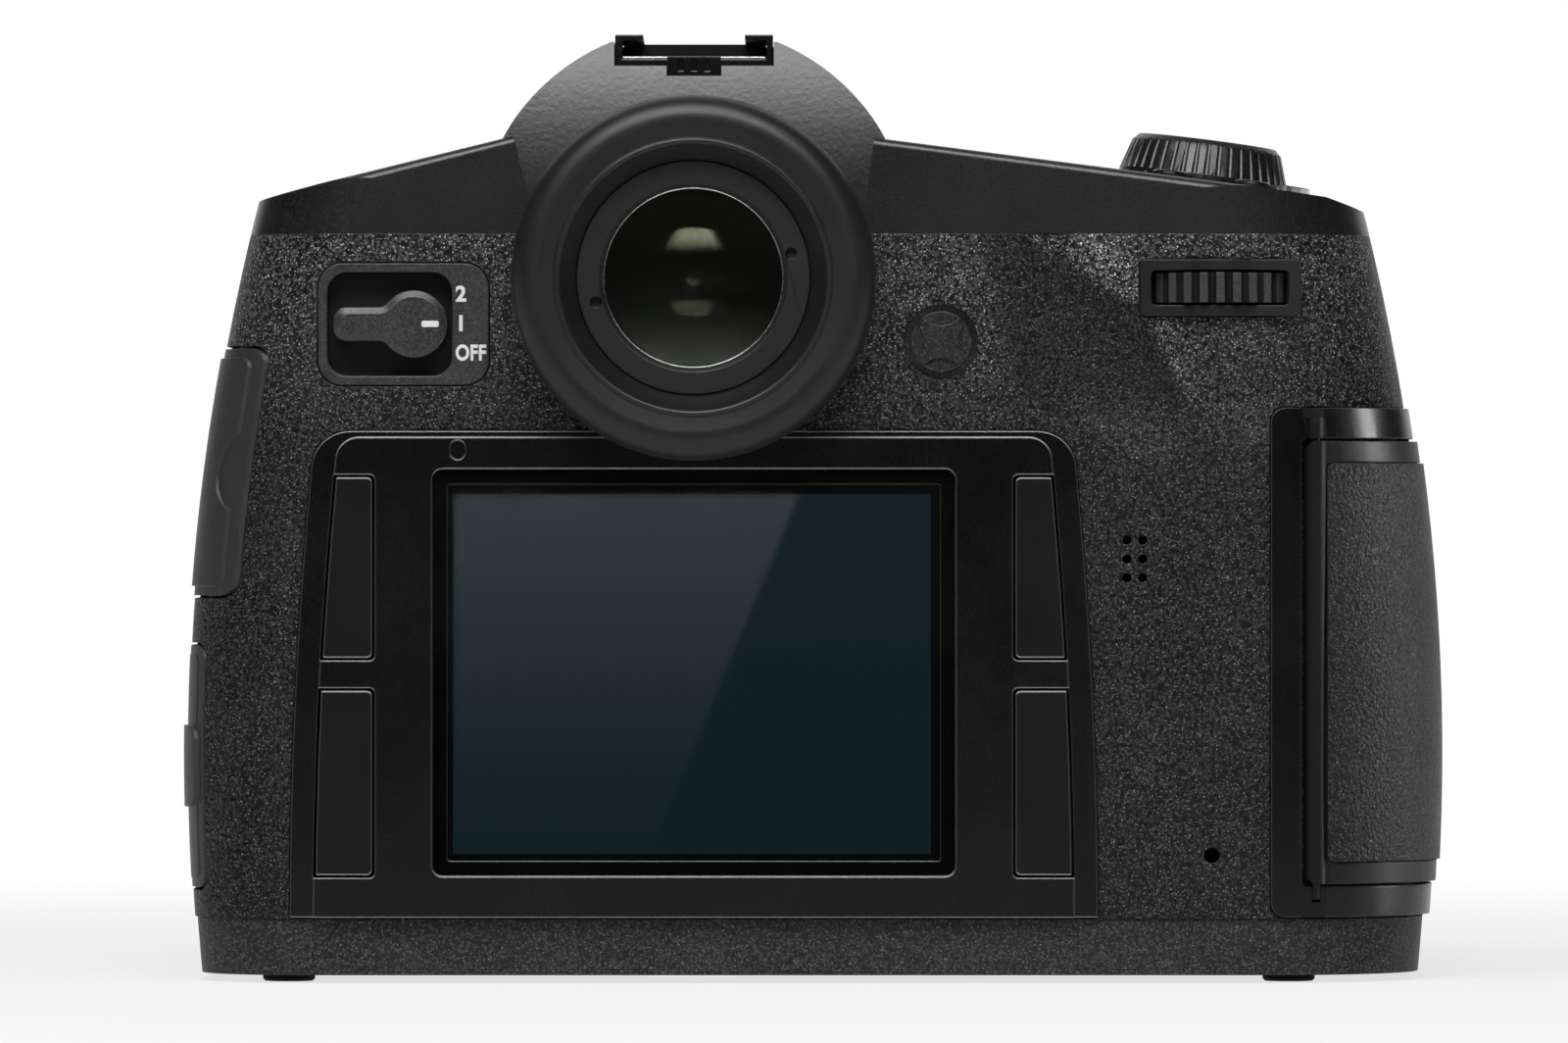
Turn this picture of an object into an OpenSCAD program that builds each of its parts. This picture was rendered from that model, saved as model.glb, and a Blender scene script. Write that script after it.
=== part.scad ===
// Medium format digital camera with its controls and the works inside.
// Millimetres, +Z up. The display side faces -Y and the lens mount faces +Y.
// The origin is the mouth of the tripod socket, straight below the lens axis.

/* [Body] */
// Lens axis to the left side at its widest height
body_left = 65; // [63:0.5:68]
// Lens axis to the grip side at its widest height
body_right = 95; // [93:0.5:98]
// Tripod axis to the rear wall
rear_depth = 24; // [23.5:0.5:26]
// Tripod axis to the front wall
front_depth = 33; // [32.5:0.5:34]
// Height of the base plate
base_h = 7.2; // [6.8:0.1:7.6]
// Height of the seam under the top cover
seam_z = 94.6; // [94.2:0.2:95.4]
// Radius of both sides seen from behind
side_arc_r = 285; // [265:5:320]
// Height at which the sides are widest
side_arc_z = 28; // [25:1:31]
// Wall thickness of the housings
wall = 2.4; // [2.3:0.1:2.6]
// Corner radius at the rear left, in plan
rear_left_r = 14; // [13:0.5:15]
// Corner radius at the front left, in plan
front_left_r = 12; // [10:0.5:14]
// Corner radius at the rear right, in plan
rear_right_r = 20; // [19:0.5:21]
// Tripod axis to the seam of the housings
split_y = 9; // [8.5:0.5:10]

/* [Grip] */
// Tripod axis to the front of the grip
grip_depth = 44; // [42:0.5:46]
// Radius of the outer front corner of the grip
grip_nose_r = 15; // [13:0.5:16]
// Radius of the inner front corner of the grip
grip_inner_r = 9; // [8:0.5:10]
// Lens axis to the centre of the inner corner
grip_inner_x = 62; // [60:0.5:64]
// Radius of the hollow beside the grip
grip_fillet_r = 8; // [7:0.5:9]
// Thickness of the grip skin
skin_t = 1; // [0.8:0.1:1.2]
// Height of the grip skin above the housing
skin_proud = 0.4; // [0.2:0.1:0.6]

/* [Thumb hollow] */
// Depth of the hollow
hollow_depth = 1.4; // [0.8:0.1:1.5]
// Radius of the hollow across its length
hollow_r = 26; // [20:1:32]
// Radius of the hollow along its length
hollow_long_r = 110; // [90:5:150]
// Lens axis to the middle of the hollow
hollow_x = 51.5; // [50:0.5:53]
// Height of the middle of the hollow
hollow_z = 80.6; // [79:0.5:82]
// Lean of the hollow from upright
hollow_lean = 34; // [25:1:40]

/* [Top cover] */
// Height of the slopes where they leave the prism hump
shoulder_z = 106.6; // [106:0.2:107.4]
// Lens axis to the start of the slopes
shoulder_x = 25; // [24:0.5:26]
// Fall of the left slope in degrees
left_slope = 13.8; // [12:0.2:15]
// Fall of the right slope in degrees
right_slope = 7.3; // [6.5:0.1:8]
// Fall of the right end of the cover in degrees
end_slope = 18; // [14:1:22]
// Lens axis to the start of the right end
end_x = 81; // [80:0.5:83]
// Radius of the prism hump
hump_r = 27.8; // [27.4:0.1:28.4]
// Height of the centre of the hump
hump_z = 93.5; // [93:0.1:94]
// Height of the flat top of the hump
hump_top_z = 119.2; // [118.8:0.1:119.4]
// Tripod axis to the hump's front slope
hump_crest_y = 11; // [9:0.5:13]
// Fall of the hump's front slope in degrees
hump_front_slope = 36; // [30:1:38]
// Radius of the hump's rear face, which leans forward
hump_lean_r = 60; // [55:1:75]
// Height at which the hump's rear face starts to lean
hump_lean_z = 97; // [96:0.5:98]
// Radius of the rear edge of the slopes
top_edge_r = 1; // [0.6:0.1:1.1]
// Radius of the rear edge of the hump
hump_edge_r = 1.3; // [1.2:0.1:1.6]

/* [Base] */
// Floor thickness of the base plate
floor_t = 3; // [2.6:0.1:3.4]
// Step from the housings to the base plate
base_step = 0.3; // [0.2:0.1:0.6]
// Radius of a foot
foot_r = 3.35; // [3:0.05:3.6]
// Height of a foot below the base plate
foot_h = 1; // [0.8:0.1:1.4]
// Lens axis to the left feet
foot_left_x = 52; // [50:0.5:53]
// Lens axis to the rear right foot
foot_right_x = 76.25; // [74:0.25:78]
// Tripod axis to the rear feet
foot_rear_y = 14.5; // [13:0.5:15.5]
// Tripod axis to the front feet
foot_front_y = 23; // [21:0.5:24]
// Lens axis to the front right foot
foot_grip_x = 46; // [44:0.5:47]
// Nominal radius of the tripod thread
tripod_r = 3.175; // [3.175:0.001:4.763]
// Depth of the tripod thread
tripod_depth = 6; // [5.5:0.5:6.5]
// Outer radius of the tripod bush
bush_r = 6; // [5.8:0.1:6.5]

/* [Display] */
// Half width of the display frame at its foot
panel_half_w = 51.5; // [50.5:0.1:51.8]
// Upper edge of the display frame
panel_top = 69.4; // [69:0.1:69.8]
// Radius of the long sides of the frame
panel_arc_r = 600; // [500:20:900]
// Corner radius of the frame
panel_corner_r = 5; // [4:0.2:6]
// Width of the frame's lower border
panel_border = 3; // [2.6:0.1:3.2]
// Height of the border above the rear wall
border_proud = 0.6; // [0.4:0.1:0.8]
// Height of the raised field above the rear wall
field_proud = 1.3; // [1.1:0.1:1.5]
// Depth of the frame's seat in the rear wall
panel_seat = 1.2; // [1:0.1:1.4]
// Half width of the display window
window_half_w = 33.4; // [32.8:0.1:34]
// Lower edge of the window
window_z0 = 12.6; // [12.2:0.1:13]
// Upper edge of the window
window_z1 = 64.6; // [64:0.1:65]
// Thickness of the display glass
glass_t = 1.25; // [1.1:0.05:1.3]
// Width of the ledge that carries the glass
glass_ledge = 2; // [1.6:0.1:2.4]
// Thickness of the display panel
lcd_t = 4; // [3:0.2:4.2]
// Lens axis to the inner edge of the display buttons
button_x = 41; // [40:0.1:42]
// Height of the gap between upper and lower buttons
button_gap_z = 38.4; // [37.6:0.1:39.2]
// Half of the bar between upper and lower buttons
button_gap = 2.1; // [1.8:0.1:2.4]
// Upper edge of the upper buttons
button_z1 = 63.5; // [62.8:0.1:64.2]
// Lower edge of the lower buttons
button_z0 = 12.8; // [12.2:0.1:13.4]
// Thickness of a display button
button_t = 2.2; // [2:0.1:2.4]
// Travel of a display button
button_travel = 0.5; // [0.3:0.1:0.6]
// Lens axis to the light sensor
sensor_eye_x = 30.1; // [28:0.1:31]
// Height of the light sensor
sensor_eye_z = 67; // [66.6:0.1:67.2]
// Radius of the light sensor's rounded ends
sensor_eye_r = 0.85; // [0.7:0.05:0.9]

/* [Mode switch] */
// Lens axis to the left edge of the switch plate
plate_x0 = 48; // [47.6:0.1:48.4]
// Lens axis to the right edge of the switch plate
plate_x1 = 26.1; // [25.6:0.1:26.6]
// Lower edge of the switch plate
plate_z0 = 75.2; // [74.8:0.1:75.6]
// Upper edge of the switch plate
plate_z1 = 90.9; // [90.5:0.1:91.3]
// Border of the plate around the hollow
plate_border = 1.3; // [1.1:0.1:1.5]
// Lens axis to the right edge of the hollow
well_x1 = 30.9; // [30.4:0.1:31.2]
// Depth of the hollow
well_depth = 3.2; // [3:0.1:3.6]
// Lens axis to the lever's pivot
lever_x = 35.7; // [35.5:0.1:36]
// Radius of the lever's hub
lever_r = 4.3; // [4:0.1:4.4]
// Pivot to the tip of the lever
lever_arm = 10.2; // [9.6:0.1:10.3]
// Width of the lever's arm
lever_w = 4.3; // [3.8:0.1:4.5]
// Height of the lever above the rear wall
lever_proud = 1.2; // [0.8:0.1:1.6]
// Radius of the lever's shaft
lever_pin_r = 1.5; // [1.2:0.1:1.8]

/* [Joystick] */
// Lens axis to the joystick
joy_x = 31.5; // [31:0.1:32]
// Height of the joystick
joy_z = 80.8; // [80:0.1:81.4]
// Radius of the hole in the rear wall
joy_hole_r = 4.75; // [4.6:0.05:4.9]
// Radius of the cap
joy_cap_r = 3.9; // [3.7:0.05:3.95]
// Height of the cap above the rear wall
joy_proud = 1.4; // [1:0.1:1.8]
// Rear wall to the pivot of the stick
joy_pivot = 7; // [6.5:0.1:7.5]
// Radius of the carrier
joy_carrier_r = 6.5; // [6.4:0.05:6.7]
// Radius of the pivot pins
joy_pin_r = 0.6; // [0.5:0.05:0.7]
// Travel of the press
joy_travel = 0.4; // [0.2:0.1:0.5]

/* [Thumbwheel] */
// Lens axis to the wheel's axle
wheel_x = 67.1; // [66.6:0.1:67.4]
// Height of the middle of the wheel
wheel_z = 87.7; // [87.4:0.1:88]
// Radius of the wheel
wheel_r = 11; // [10.8:0.1:11.2]
// Width of the wheel
wheel_w = 3.8; // [3.4:0.1:3.9]
// Height of the wheel's rim above the rear wall
wheel_proud = 2.4; // [2:0.1:2.6]
// Number of grooves in the rim
wheel_teeth = 32; // [24:1:36]
// Radius of one groove
wheel_groove_r = 0.55; // [0.4:0.05:0.6]
// Radius of the axle
axle_r = 1.5; // [1.2:0.1:1.8]
// Half width of the wheel's frame
wheel_frame_half_w = 10.2; // [10:0.1:10.4]
// Half height of the wheel's frame
wheel_frame_half_h = 3.6; // [3.5:0.05:3.7]
// Half width of the wheel's window
wheel_window_half_w = 8.8; // [8.7:0.05:9]
// Height of the frame above the rear wall
wheel_frame_proud = 0.6; // [0.4:0.1:0.8]
// Height of the wheel's guards over the frame
guard_proud = 0.9; // [0.6:0.1:1.1]

/* [Eyepiece] */
// Height of the eyepiece axis
eye_z = 88.8; // [88.4:0.1:89.2]
// Outer radius of the eyecup
eyecup_r = 23.2; // [22.4:0.1:23.6]
// Rear wall to the rear of the eyecup
eyecup_proud = 12; // [11.6:0.2:13]
// Radius of the eyecup's rounded rim
eyecup_rim_r = 3.2; // [2.6:0.1:3.4]
// Radius of the eyecup's inner ridge
eyecup_ridge_r = 17.2; // [16.6:0.1:17.8]
// Radius of the opening of the lens ring
eye_open_r = 11.4; // [11:0.1:11.8]
// Outer radius of the lens ring
eye_ring_r = 14.8; // [14.7:0.05:15]
// Outer radius of the fixed barrel
barrel_r = 16.6; // [16.4:0.1:17]
// Outer radius of the lens cell inside the barrel
cell_r = 14.25; // [14.1:0.05:14.4]
// Radius of the eyepiece lens
eye_lens_r = 12.95; // [12.8:0.05:13]
// Rear wall to the lens ring's face
eye_ring_proud = 8.6; // [8.4:0.1:9]
// Width of the viewfinder mask's window
mask_w = 19; // [17:0.5:20]
// Height of the viewfinder mask's window
mask_h = 14.4; // [12:0.2:15]

/* [Hot shoe] */
// Height of the shoe's seat on the hump
shoe_z = 116.1; // [115.9:0.1:116.3]
// Half of the shoe's outer width
shoe_half_w = 10.1; // [10:0.05:10.3]
// Half of the slot for the foot
slot_half_w = 9.3; // [9.25:0.01:9.35]
// Half of the gap between the lips
lip_gap_half = 6.5; // [6.3:0.05:6.6]
// Height of the shoe above its seat
shoe_h = 4; // [3.8:0.05:4.2]
// Thickness of the lips
lip_t = 0.7; // [0.6:0.05:0.8]
// Thickness of the shoe's floor
shoe_floor_t = 0.9; // [0.8:0.05:1]
// Length of the shoe
shoe_len = 18; // [17:0.5:19]
// Half width of the spring's ridged tab
tab_half_w = 3.4; // [3:0.1:3.6]

/* [Speed dial and top buttons] */
// Lens axis to the dial's centre
dial_x = 65.7; // [65:0.1:66.5]
// Tripod axis to the dial's centre
dial_y = 3; // [1:0.5:5]
// Radius of the dial at its foot
dial_r = 10.9; // [10.4:0.1:11.2]
// Radius of the dial at its upper edge
dial_top_r = 9.7; // [9.4:0.1:9.9]
// Height of the dial
dial_h = 5.4; // [4.8:0.1:5.8]
// Number of grooves around the dial
dial_teeth = 44; // [36:1:46]
// Radius of the dial's shaft
dial_shaft_r = 3; // [2.6:0.1:3.4]
// Half the pitch of the top buttons
top_button_pitch = 5.2; // [4.6:0.1:6]
// Lens axis to the pair of top buttons
top_button_x = 66.3; // [65.5:0.1:67]
// Tripod axis to the top buttons
top_button_y = 15; // [14:0.5:16]
// Radius of a top button
top_button_r = 2.4; // [2.2:0.1:2.6]
// Height of a top button above the cover
top_button_h = 0.9; // [0.7:0.1:1.2]
// Travel of a top button
top_button_travel = 0.5; // [0.3:0.1:0.6]
// Lens axis to the shutter button
release_x = 75.5; // [74:0.5:77]
// Tripod axis to the shutter button
release_y = 32; // [31:0.5:32.5]
// Radius of the shutter button
release_r = 5.2; // [4.8:0.1:5.6]
// Height of the shutter button above the cover
release_h = 2.4; // [2:0.1:2.8]
// Travel of the shutter button
release_travel = 1.2; // [0.8:0.1:1.4]
// Lens axis to the left edge of the top display
top_display_x = 31; // [30.5:0.5:32]
// Width of the top display
top_display_w = 19; // [17:0.5:20]
// Depth of the top display
top_display_d = 14; // [12:0.5:15]
// Thickness of the top display
top_display_t = 1.4; // [1.2:0.1:1.6]

/* [Card door] */
// Lens axis to the left edge of the door's frame
door_frame_x = 73.6; // [73.2:0.1:74]
// Gap between the base seam and the frame
door_frame_lift = 0.2; // [0.1:0.05:0.4]
// Height of the frame's upper edge
door_frame_top = 72.4; // [72:0.1:73]
// Width of the frame's bars
door_bar = 3.9; // [3.7:0.1:4.1]
// Height of the frame above the housing
door_frame_proud = 0.6; // [0.4:0.1:0.7]
// Depth of the frame's seat in the housing
door_seat = 1.6; // [1.5:0.05:1.7]
// Tripod axis to the front edge of the frame
door_frame_y1 = 8; // [7.6:0.1:8.2]
// Height of the door above the housing
door_proud = 1.1; // [1:0.05:1.3]
// Depth of the door in the housing
door_depth = 0.9; // [0.8:0.05:1]
// Radius of the hinge barrel
hinge_r = 1.4; // [1.35:0.01:1.42]
// Depth of the hinge axis below the rear wall
hinge_depth = 0.35; // [0.34:0.01:0.4]
// Radius of the hinge pins
hinge_pin_r = 0.6; // [0.5:0.05:0.65]
// Margin from the door's edge to its pad
pad_margin = 2.7; // [2.4:0.1:3.2]
// Height of the pad above the housing
pad_proud = 1.5; // [1.4:0.05:1.7]

/* [Port flaps] */
// Lower edge of the upper flap
upper_flap_z0 = 48.4; // [47.8:0.2:49]
// Upper edge of the upper flap
upper_flap_z1 = 80; // [79.6:0.2:80.6]
// Tripod axis to the rear edge of the upper flap
upper_flap_y = 21.2; // [20.8:0.1:21.4]
// Lower edge of the lower flap
lower_flap_z0 = 11; // [10.6:0.2:11.4]
// Upper edge of the lower flap
lower_flap_z1 = 42; // [41.6:0.2:42.6]
// Tripod axis to the rear edge of the lower flap
lower_flap_y = 17.2; // [16.8:0.2:17.6]
// Tripod axis to the flaps' hinge
flap_hinge_y = 3.8; // [3.4:0.1:4.2]
// Thickness of a flap in the housing
flap_t = 1.4; // [1.3:0.05:1.45]
// Height of a flap's raised middle
flap_proud = 0.5; // [0.4:0.05:0.6]
// Radius of the bead on the hinge edge
bead_r = 0.7; // [0.6:0.05:0.75]

/* [Lens mount] */
// Height of the lens axis
lens_z = 46; // [45.5:0.1:46.5]
// Tripod axis to the lens flange
flange_y = 44; // [43.6:0.1:44.4]
// Outer radius of the mount ring
mount_r = 35.5; // [35.2:0.1:36]
// Radius of the lens throat
throat_r = 29; // [28.8:0.1:29.2]
// Thickness of the mount ring
mount_t = 3; // [2.8:0.1:3.2]
// Depth of the bayonet claws
claw_depth = 2.2; // [1.8:0.1:2.6]
// Radius of the collar that carries the mount ring
collar_r = 38.4; // [38:0.1:38.6]
// Radius of a mount screw's head
screw_head_r = 1.2; // [1:0.05:1.3]
// Radius of the release button
unlock_r = 4.5; // [4.2:0.1:4.8]
// Lens axis to the release button, sideways
unlock_x = 44; // [43.6:0.1:45]
// Height of the release button
unlock_z = 33; // [32:0.5:34]
// Height of the release button above the front wall
unlock_proud = 4; // [3.4:0.2:4.6]
// Travel of the release button
unlock_travel = 2; // [1.6:0.1:2.2]
// Radius of the lock pin
lock_pin_r = 1.1; // [1:0.05:1.2]

/* [Mirror and viewfinder] */
// Half of the inner width of the mirror box
box_half_w = 28.2; // [27.8:0.1:28.4]
// Thickness of the mirror box's walls
box_wall = 1.6; // [1.4:0.1:1.8]
// Lens axis to the mirror's pivot, upwards
mirror_rise = 18; // [17.6:0.1:18.2]
// Flange to the mirror's pivot
mirror_back = 43.4; // [43:0.1:43.6]
// Length of the mirror from its pivot
mirror_len = 36.6; // [35:0.2:36.8]
// Half of the mirror's width
mirror_half_w = 23; // [22:0.2:23.4]
// Thickness of the mirror
mirror_t = 2; // [1.6:0.1:2.2]
// Radius of the mirror's pivot pins
mirror_pin_r = 0.8; // [0.6:0.05:0.9]
// Thickness of the focusing screen
screen_t = 1.5; // [1.2:0.1:1.7]
// Half of the prism's width
prism_half_w = 22; // [20:0.5:22.5]

/* [Shutter and sensor] */
// Lens flange to the sensor's surface
flange_focal = 53; // [52.8:0.1:53.2]
// Width of the sensor's image field
field_w = 45; // [44:0.1:46]
// Height of the sensor's image field
field_h = 30; // [29:0.1:30.4]
// Thickness of one shutter blade
blade_t = 0.4; // [0.3:0.05:0.45]

/* [Battery] */
// Width of the battery
battery_w = 29.4; // [28:0.2:29.8]
// Depth of the battery
battery_d = 21.4; // [20:0.2:21.8]
// Height of the battery
battery_h = 60; // [56:0.5:61]
// Lens axis to the middle of the battery
battery_x = 73; // [72.5:0.1:73.5]
// Tripod axis to the middle of the battery
battery_y = 21.5; // [21.3:0.1:22]
// Radius of the battery latch
latch_r = 4.6; // [4.2:0.1:4.8]
// Lens axis to the battery latch
latch_x = 67; // [66:0.5:68]
// Radius of the latch's pivot
latch_pin_r = 1.2; // [1:0.1:1.4]

/* [Small parts] */
// Radius of one loudspeaker hole
speaker_hole_r = 0.58; // [0.5:0.02:0.65]
// Lens axis to the middle of the loudspeaker
speaker_x = 56.25; // [56:0.05:56.6]
// Height of the middle of the loudspeaker
speaker_z = 53.1; // [52.5:0.1:53.7]
// Half the sideways pitch of the holes
speaker_pitch_x = 1; // [0.9:0.05:1.2]
// Distance between the rows of holes
speaker_pitch_z = 2.4; // [2.2:0.05:2.6]
// Radius of the microphone hole
mic_r = 1; // [0.8:0.05:1.1]
// Lens axis to the microphone hole
mic_x = 66.1; // [65.6:0.1:66.6]
// Height of the microphone hole
mic_z = 15.3; // [14.8:0.1:15.8]
// Radius of the eye of a strap lug
lug_eye_r = 1.8; // [1.6:0.1:1.9]
// Outer radius of a strap lug
lug_r = 3; // [2.9:0.1:3.2]

/* [Clearances] */
// Gap around a moving piece
move_gap = 0.35; // [0.32:0.01:0.4]
// Radial clearance of a running pin
run_gap = 0.05; // [0.03:0.01:0.08]
// Gap around a fixed piece in its seat
seat_gap = 0.1; // [0.05:0.05:0.15]

/* [Hidden] */
$fn = 64;
fine_fn = 360;
arc_fn = 1440;
lap = 0.5;
over = 1;
margin = 8;
far = 150;
sweep_half = 30;
blend_bite = 0.01;
rear_y = -rear_depth;
front_y = front_depth;
inner_rear_y = rear_y + wall;
inner_front_y = front_y - wall;
field_y = rear_y - field_proud;
panel_bottom = base_h + 0.2;
field_half_w = panel_half_w - panel_border;
field_top = panel_top - 0.8;
plate_r = 3.2;
well_r = 2.5;
lever_z = (plate_z0 + plate_z1) / 2;
wheel_y = rear_y - wheel_proud + wheel_r;
hinge_x = door_frame_x + door_bar + hinge_r + move_gap + 0.05;
hinge_y = rear_y + hinge_depth;
door_z0 = base_h + door_frame_lift + door_bar;
door_z1 = door_frame_top - door_bar;
door_y1 = door_frame_y1 - 2.6;
shoe_lean = hump_lean_r - sqrt(pow(hump_lean_r, 2) - pow(shoe_z - hump_lean_z, 2));
shoe_y = rear_y + shoe_lean + 0.9;
barrel_rim_r = barrel_r + 2.6;
sensor_y = flange_y - flange_focal;
collar_y = flange_y - mount_t;
box_rear_y = sensor_y + 5.6;
mirror_y = flange_y - mirror_back;
mirror_z = lens_z + mirror_rise;
box_top = mirror_z + 3.8;
box_bottom = lens_z - 26;
mirror_tilt = 45;
shutter_t = 3.6;
shutter_y = box_rear_y - shutter_t;
gate_w = field_w + 2;
gate_h = field_h + 1;
blade_h = gate_h / 2 + 1.5;
blade_stack = lens_z - gate_h / 2 - 0.8 - blade_h;
battery_gap = 0.3;
chamber_t = 1.2;
chamber_y0 = battery_y - battery_d / 2 - battery_gap - chamber_t;
latch_y = battery_y - battery_d / 2 - latch_r - 2.4;
latch_depth = 2.2;
pin_ring_r = 33;
flap_room = 1.75;
knuckle_r = hinge_pin_r + 0.45;
socket_y = -12;
board_top = joy_z - joy_carrier_r - 2.3;
board_left = 46;
board_right = 49;
slope_end_z = shoulder_z - (end_x - shoulder_x) * tan(right_slope);
lug_lean = 58;
lug_z = 86;
leather = [0.11, 0.11, 0.12];
satin = [0.09, 0.09, 0.10];
rubber = [0.07, 0.07, 0.07];
steel = [0.72, 0.73, 0.75];
glass = [0.2, 0.24, 0.3];

// Shared shapes

// A drawing in X and Z carried along Y
module prism_y(y0, y1) {
    translate([0, y1, 0]) rotate([90, 0, 0]) linear_extrude(y1 - y0) children();
}

// A drawing in Y and Z carried along X
module prism_x(x0, x1) {
    translate([x0, 0, 0]) rotate([90, 0, 90]) linear_extrude(x1 - x0) children();
}

// A round bar along Y
module rod_y(x, z, r, y0, y1) {
    translate([x, y1, z]) rotate([90, 0, 0]) cylinder(r = r, h = y1 - y0);
}

// A drawing in radius and Y turned about an axis along Y
module turn_y(x, z) {
    translate([x, 0, z]) rotate([-90, 0, 0]) rotate_extrude($fn = 96) children();
}

// A block between two corners
module block(a, b) {
    translate(a) cube(b - a);
}

// A rectangle with rounded corners
module round_rect(a, b, r) {
    translate([a[0] + r, a[1]]) square([b[0] - a[0] - 2 * r, b[1] - a[1]]);
    translate([a[0], a[1] + r]) square([b[0] - a[0], b[1] - a[1] - 2 * r]);
    for (x = [a[0] + r, b[0] - r], y = [a[1] + r, b[1] - r]) {
        translate([x, y]) circle(r);
    }
}

// Plan of the left half, as distances from the centre of the side's curve
module plan_left(inset) {
    x0 = side_arc_r - body_left - margin;
    x1 = side_arc_r - inset;
    y0 = rear_y + inset;
    y1 = front_y - inset;
    r0 = rear_left_r - inset;
    r1 = front_left_r - inset;
    translate([x0, y0 + r0]) square([x1 - x0, y1 - y0 - r0 - r1]);
    translate([x0, y0]) square([x1 - r0 - x0, y1 - r1 - y0]);
    translate([x0, y0 + r0]) square([x1 - r1 - x0, y1 - y0 - r0]);
    translate([x1 - r0, y0 + r0]) circle(r0);
    translate([x1 - r1, y1 - r1]) circle(r1);
}

// Plan of the right half with the grip, measured the same way
module plan_right(inset) {
    nose = [body_right - grip_nose_r, grip_depth - grip_nose_r];
    knuckle = [grip_inner_x, grip_depth - grip_inner_r];
    dip_y = front_y + grip_fillet_r - blend_bite;
    reach = grip_inner_r + grip_fillet_r - blend_bite;
    dip_x = knuckle[0] - sqrt(pow(reach, 2) - pow(dip_y - knuckle[1], 2));
    low = front_y - inset - lap;
    corner = [body_right - rear_right_r, rear_y + rear_right_r];
    translate([side_arc_r - body_right, 0]) {
        translate([-margin, corner[1]]) square([body_right - inset + margin, nose[1] - corner[1]]);
        translate([-margin, rear_y + inset]) square([corner[0] + margin, front_y - rear_y - 2 * inset]);
        translate(corner) circle(rear_right_r - inset);
        translate([knuckle[0], 0]) square([nose[0] - knuckle[0], grip_depth - inset]);
        translate(nose) circle(grip_nose_r - inset);
        translate(knuckle) circle(grip_inner_r - inset);
        difference() {
            polygon([[dip_x, low], [knuckle[0] + lap, low], [knuckle[0] + lap, knuckle[1]], knuckle, [dip_x, dip_y]]);
            translate([dip_x, dip_y]) circle(grip_fillet_r + inset);
        }
    }
}

// A plan carried along the curve of a side
module side_sweep() {
    rotate([0, 0, -sweep_half]) rotate_extrude(angle = 2 * sweep_half, $fn = fine_fn) children();
}

// The outer form of the body, taken in by inset, between two heights
module body_form(inset = 0, z0 = base_h, z1 = seam_z) {
    intersection() {
        translate([side_arc_r - body_left, 0, side_arc_z]) rotate([90, 0, 180]) side_sweep() plan_left(inset);
        block([-far, -far, z0], [0, far, z1]);
    }
    intersection() {
        translate([body_right - side_arc_r, 0, side_arc_z]) rotate([90, 0, 0]) side_sweep()
            mirror([0, 1]) plan_right(inset);
        block([0, -far, z0], [far, far, z1]);
    }
}

// The layer between two insets of the body
module body_layer(outer, inner, z0, z1) {
    difference() {
        body_form(outer, z0, z1);
        body_form(inner, z0 - over, z1 + over);
    }
}

// X of the left side at a height, taken in by inset
function left_x(z, inset) =
    side_arc_r - body_left - sqrt(pow(side_arc_r - inset, 2) - pow(z - side_arc_z, 2));

// Cross-section of a slope, in Y and height
module slope_section(inset) {
    y0 = rear_y + inset;
    translate([y0 + top_edge_r, -30]) square([far, 30 - inset]);
    translate([y0, -30]) square([top_edge_r + lap, 30 - inset - top_edge_r]);
    translate([y0 + top_edge_r, -inset - top_edge_r]) circle(top_edge_r);
}

// The space in front of the hump's leaning rear face
module hump_lean(inset) {
    prism_x(-far, far) {
        translate([rear_y - over, 0]) square([far, hump_lean_z]);
        translate([rear_y + hump_lean_r - 2 * blend_bite, hump_lean_z]) circle(hump_lean_r - inset, $fn = fine_fn);
        translate([rear_y + hump_lean_r, 0]) square([far, far]);
    }
}

// The outer form of the top cover, taken in by inset
module top_form(inset, z0) {
    flat_z = inset > 0 ? shoe_z - inset : hump_top_z;
    y0 = rear_y + inset;
    r1 = hump_r - inset;
    intersection() {
        body_form(inset, z0, hump_top_z + over);
        union() {
            translate([-shoulder_x, 0, shoulder_z]) rotate([0, -left_slope, 0]) prism_x(-70, 2) slope_section(inset);
            intersection() {
                translate([shoulder_x, 0, shoulder_z]) rotate([0, right_slope, 0]) prism_x(-2, 90)
                    slope_section(inset);
                translate([end_x, 0, slope_end_z]) rotate([0, end_slope, 0]) prism_x(-70, 40) slope_section(inset);
            }
            difference() {
                intersection() {
                    turn_y(0, hump_z) {
                        translate([0, y0]) square([r1 - hump_edge_r, 80]);
                        translate([0, y0 + hump_edge_r]) square([r1, 80]);
                        translate([r1 - hump_edge_r, y0 + hump_edge_r]) circle(hump_edge_r);
                    }
                    hump_lean(inset);
                }
                block([-far, -far, flat_z], [far, far, far]);
                translate([0, hump_crest_y, hump_top_z - inset]) rotate([-hump_front_slope, 0, 0])
                    block([-far, 0, 0], [far, far, far]);
            }
        }
    }
}

// Places a piece on the right slope
module on_slope(x, y) {
    translate([shoulder_x, 0, shoulder_z]) rotate([0, right_slope, 0])
        translate([(x - shoulder_x) / cos(right_slope), y, 0]) children();
}

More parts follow.
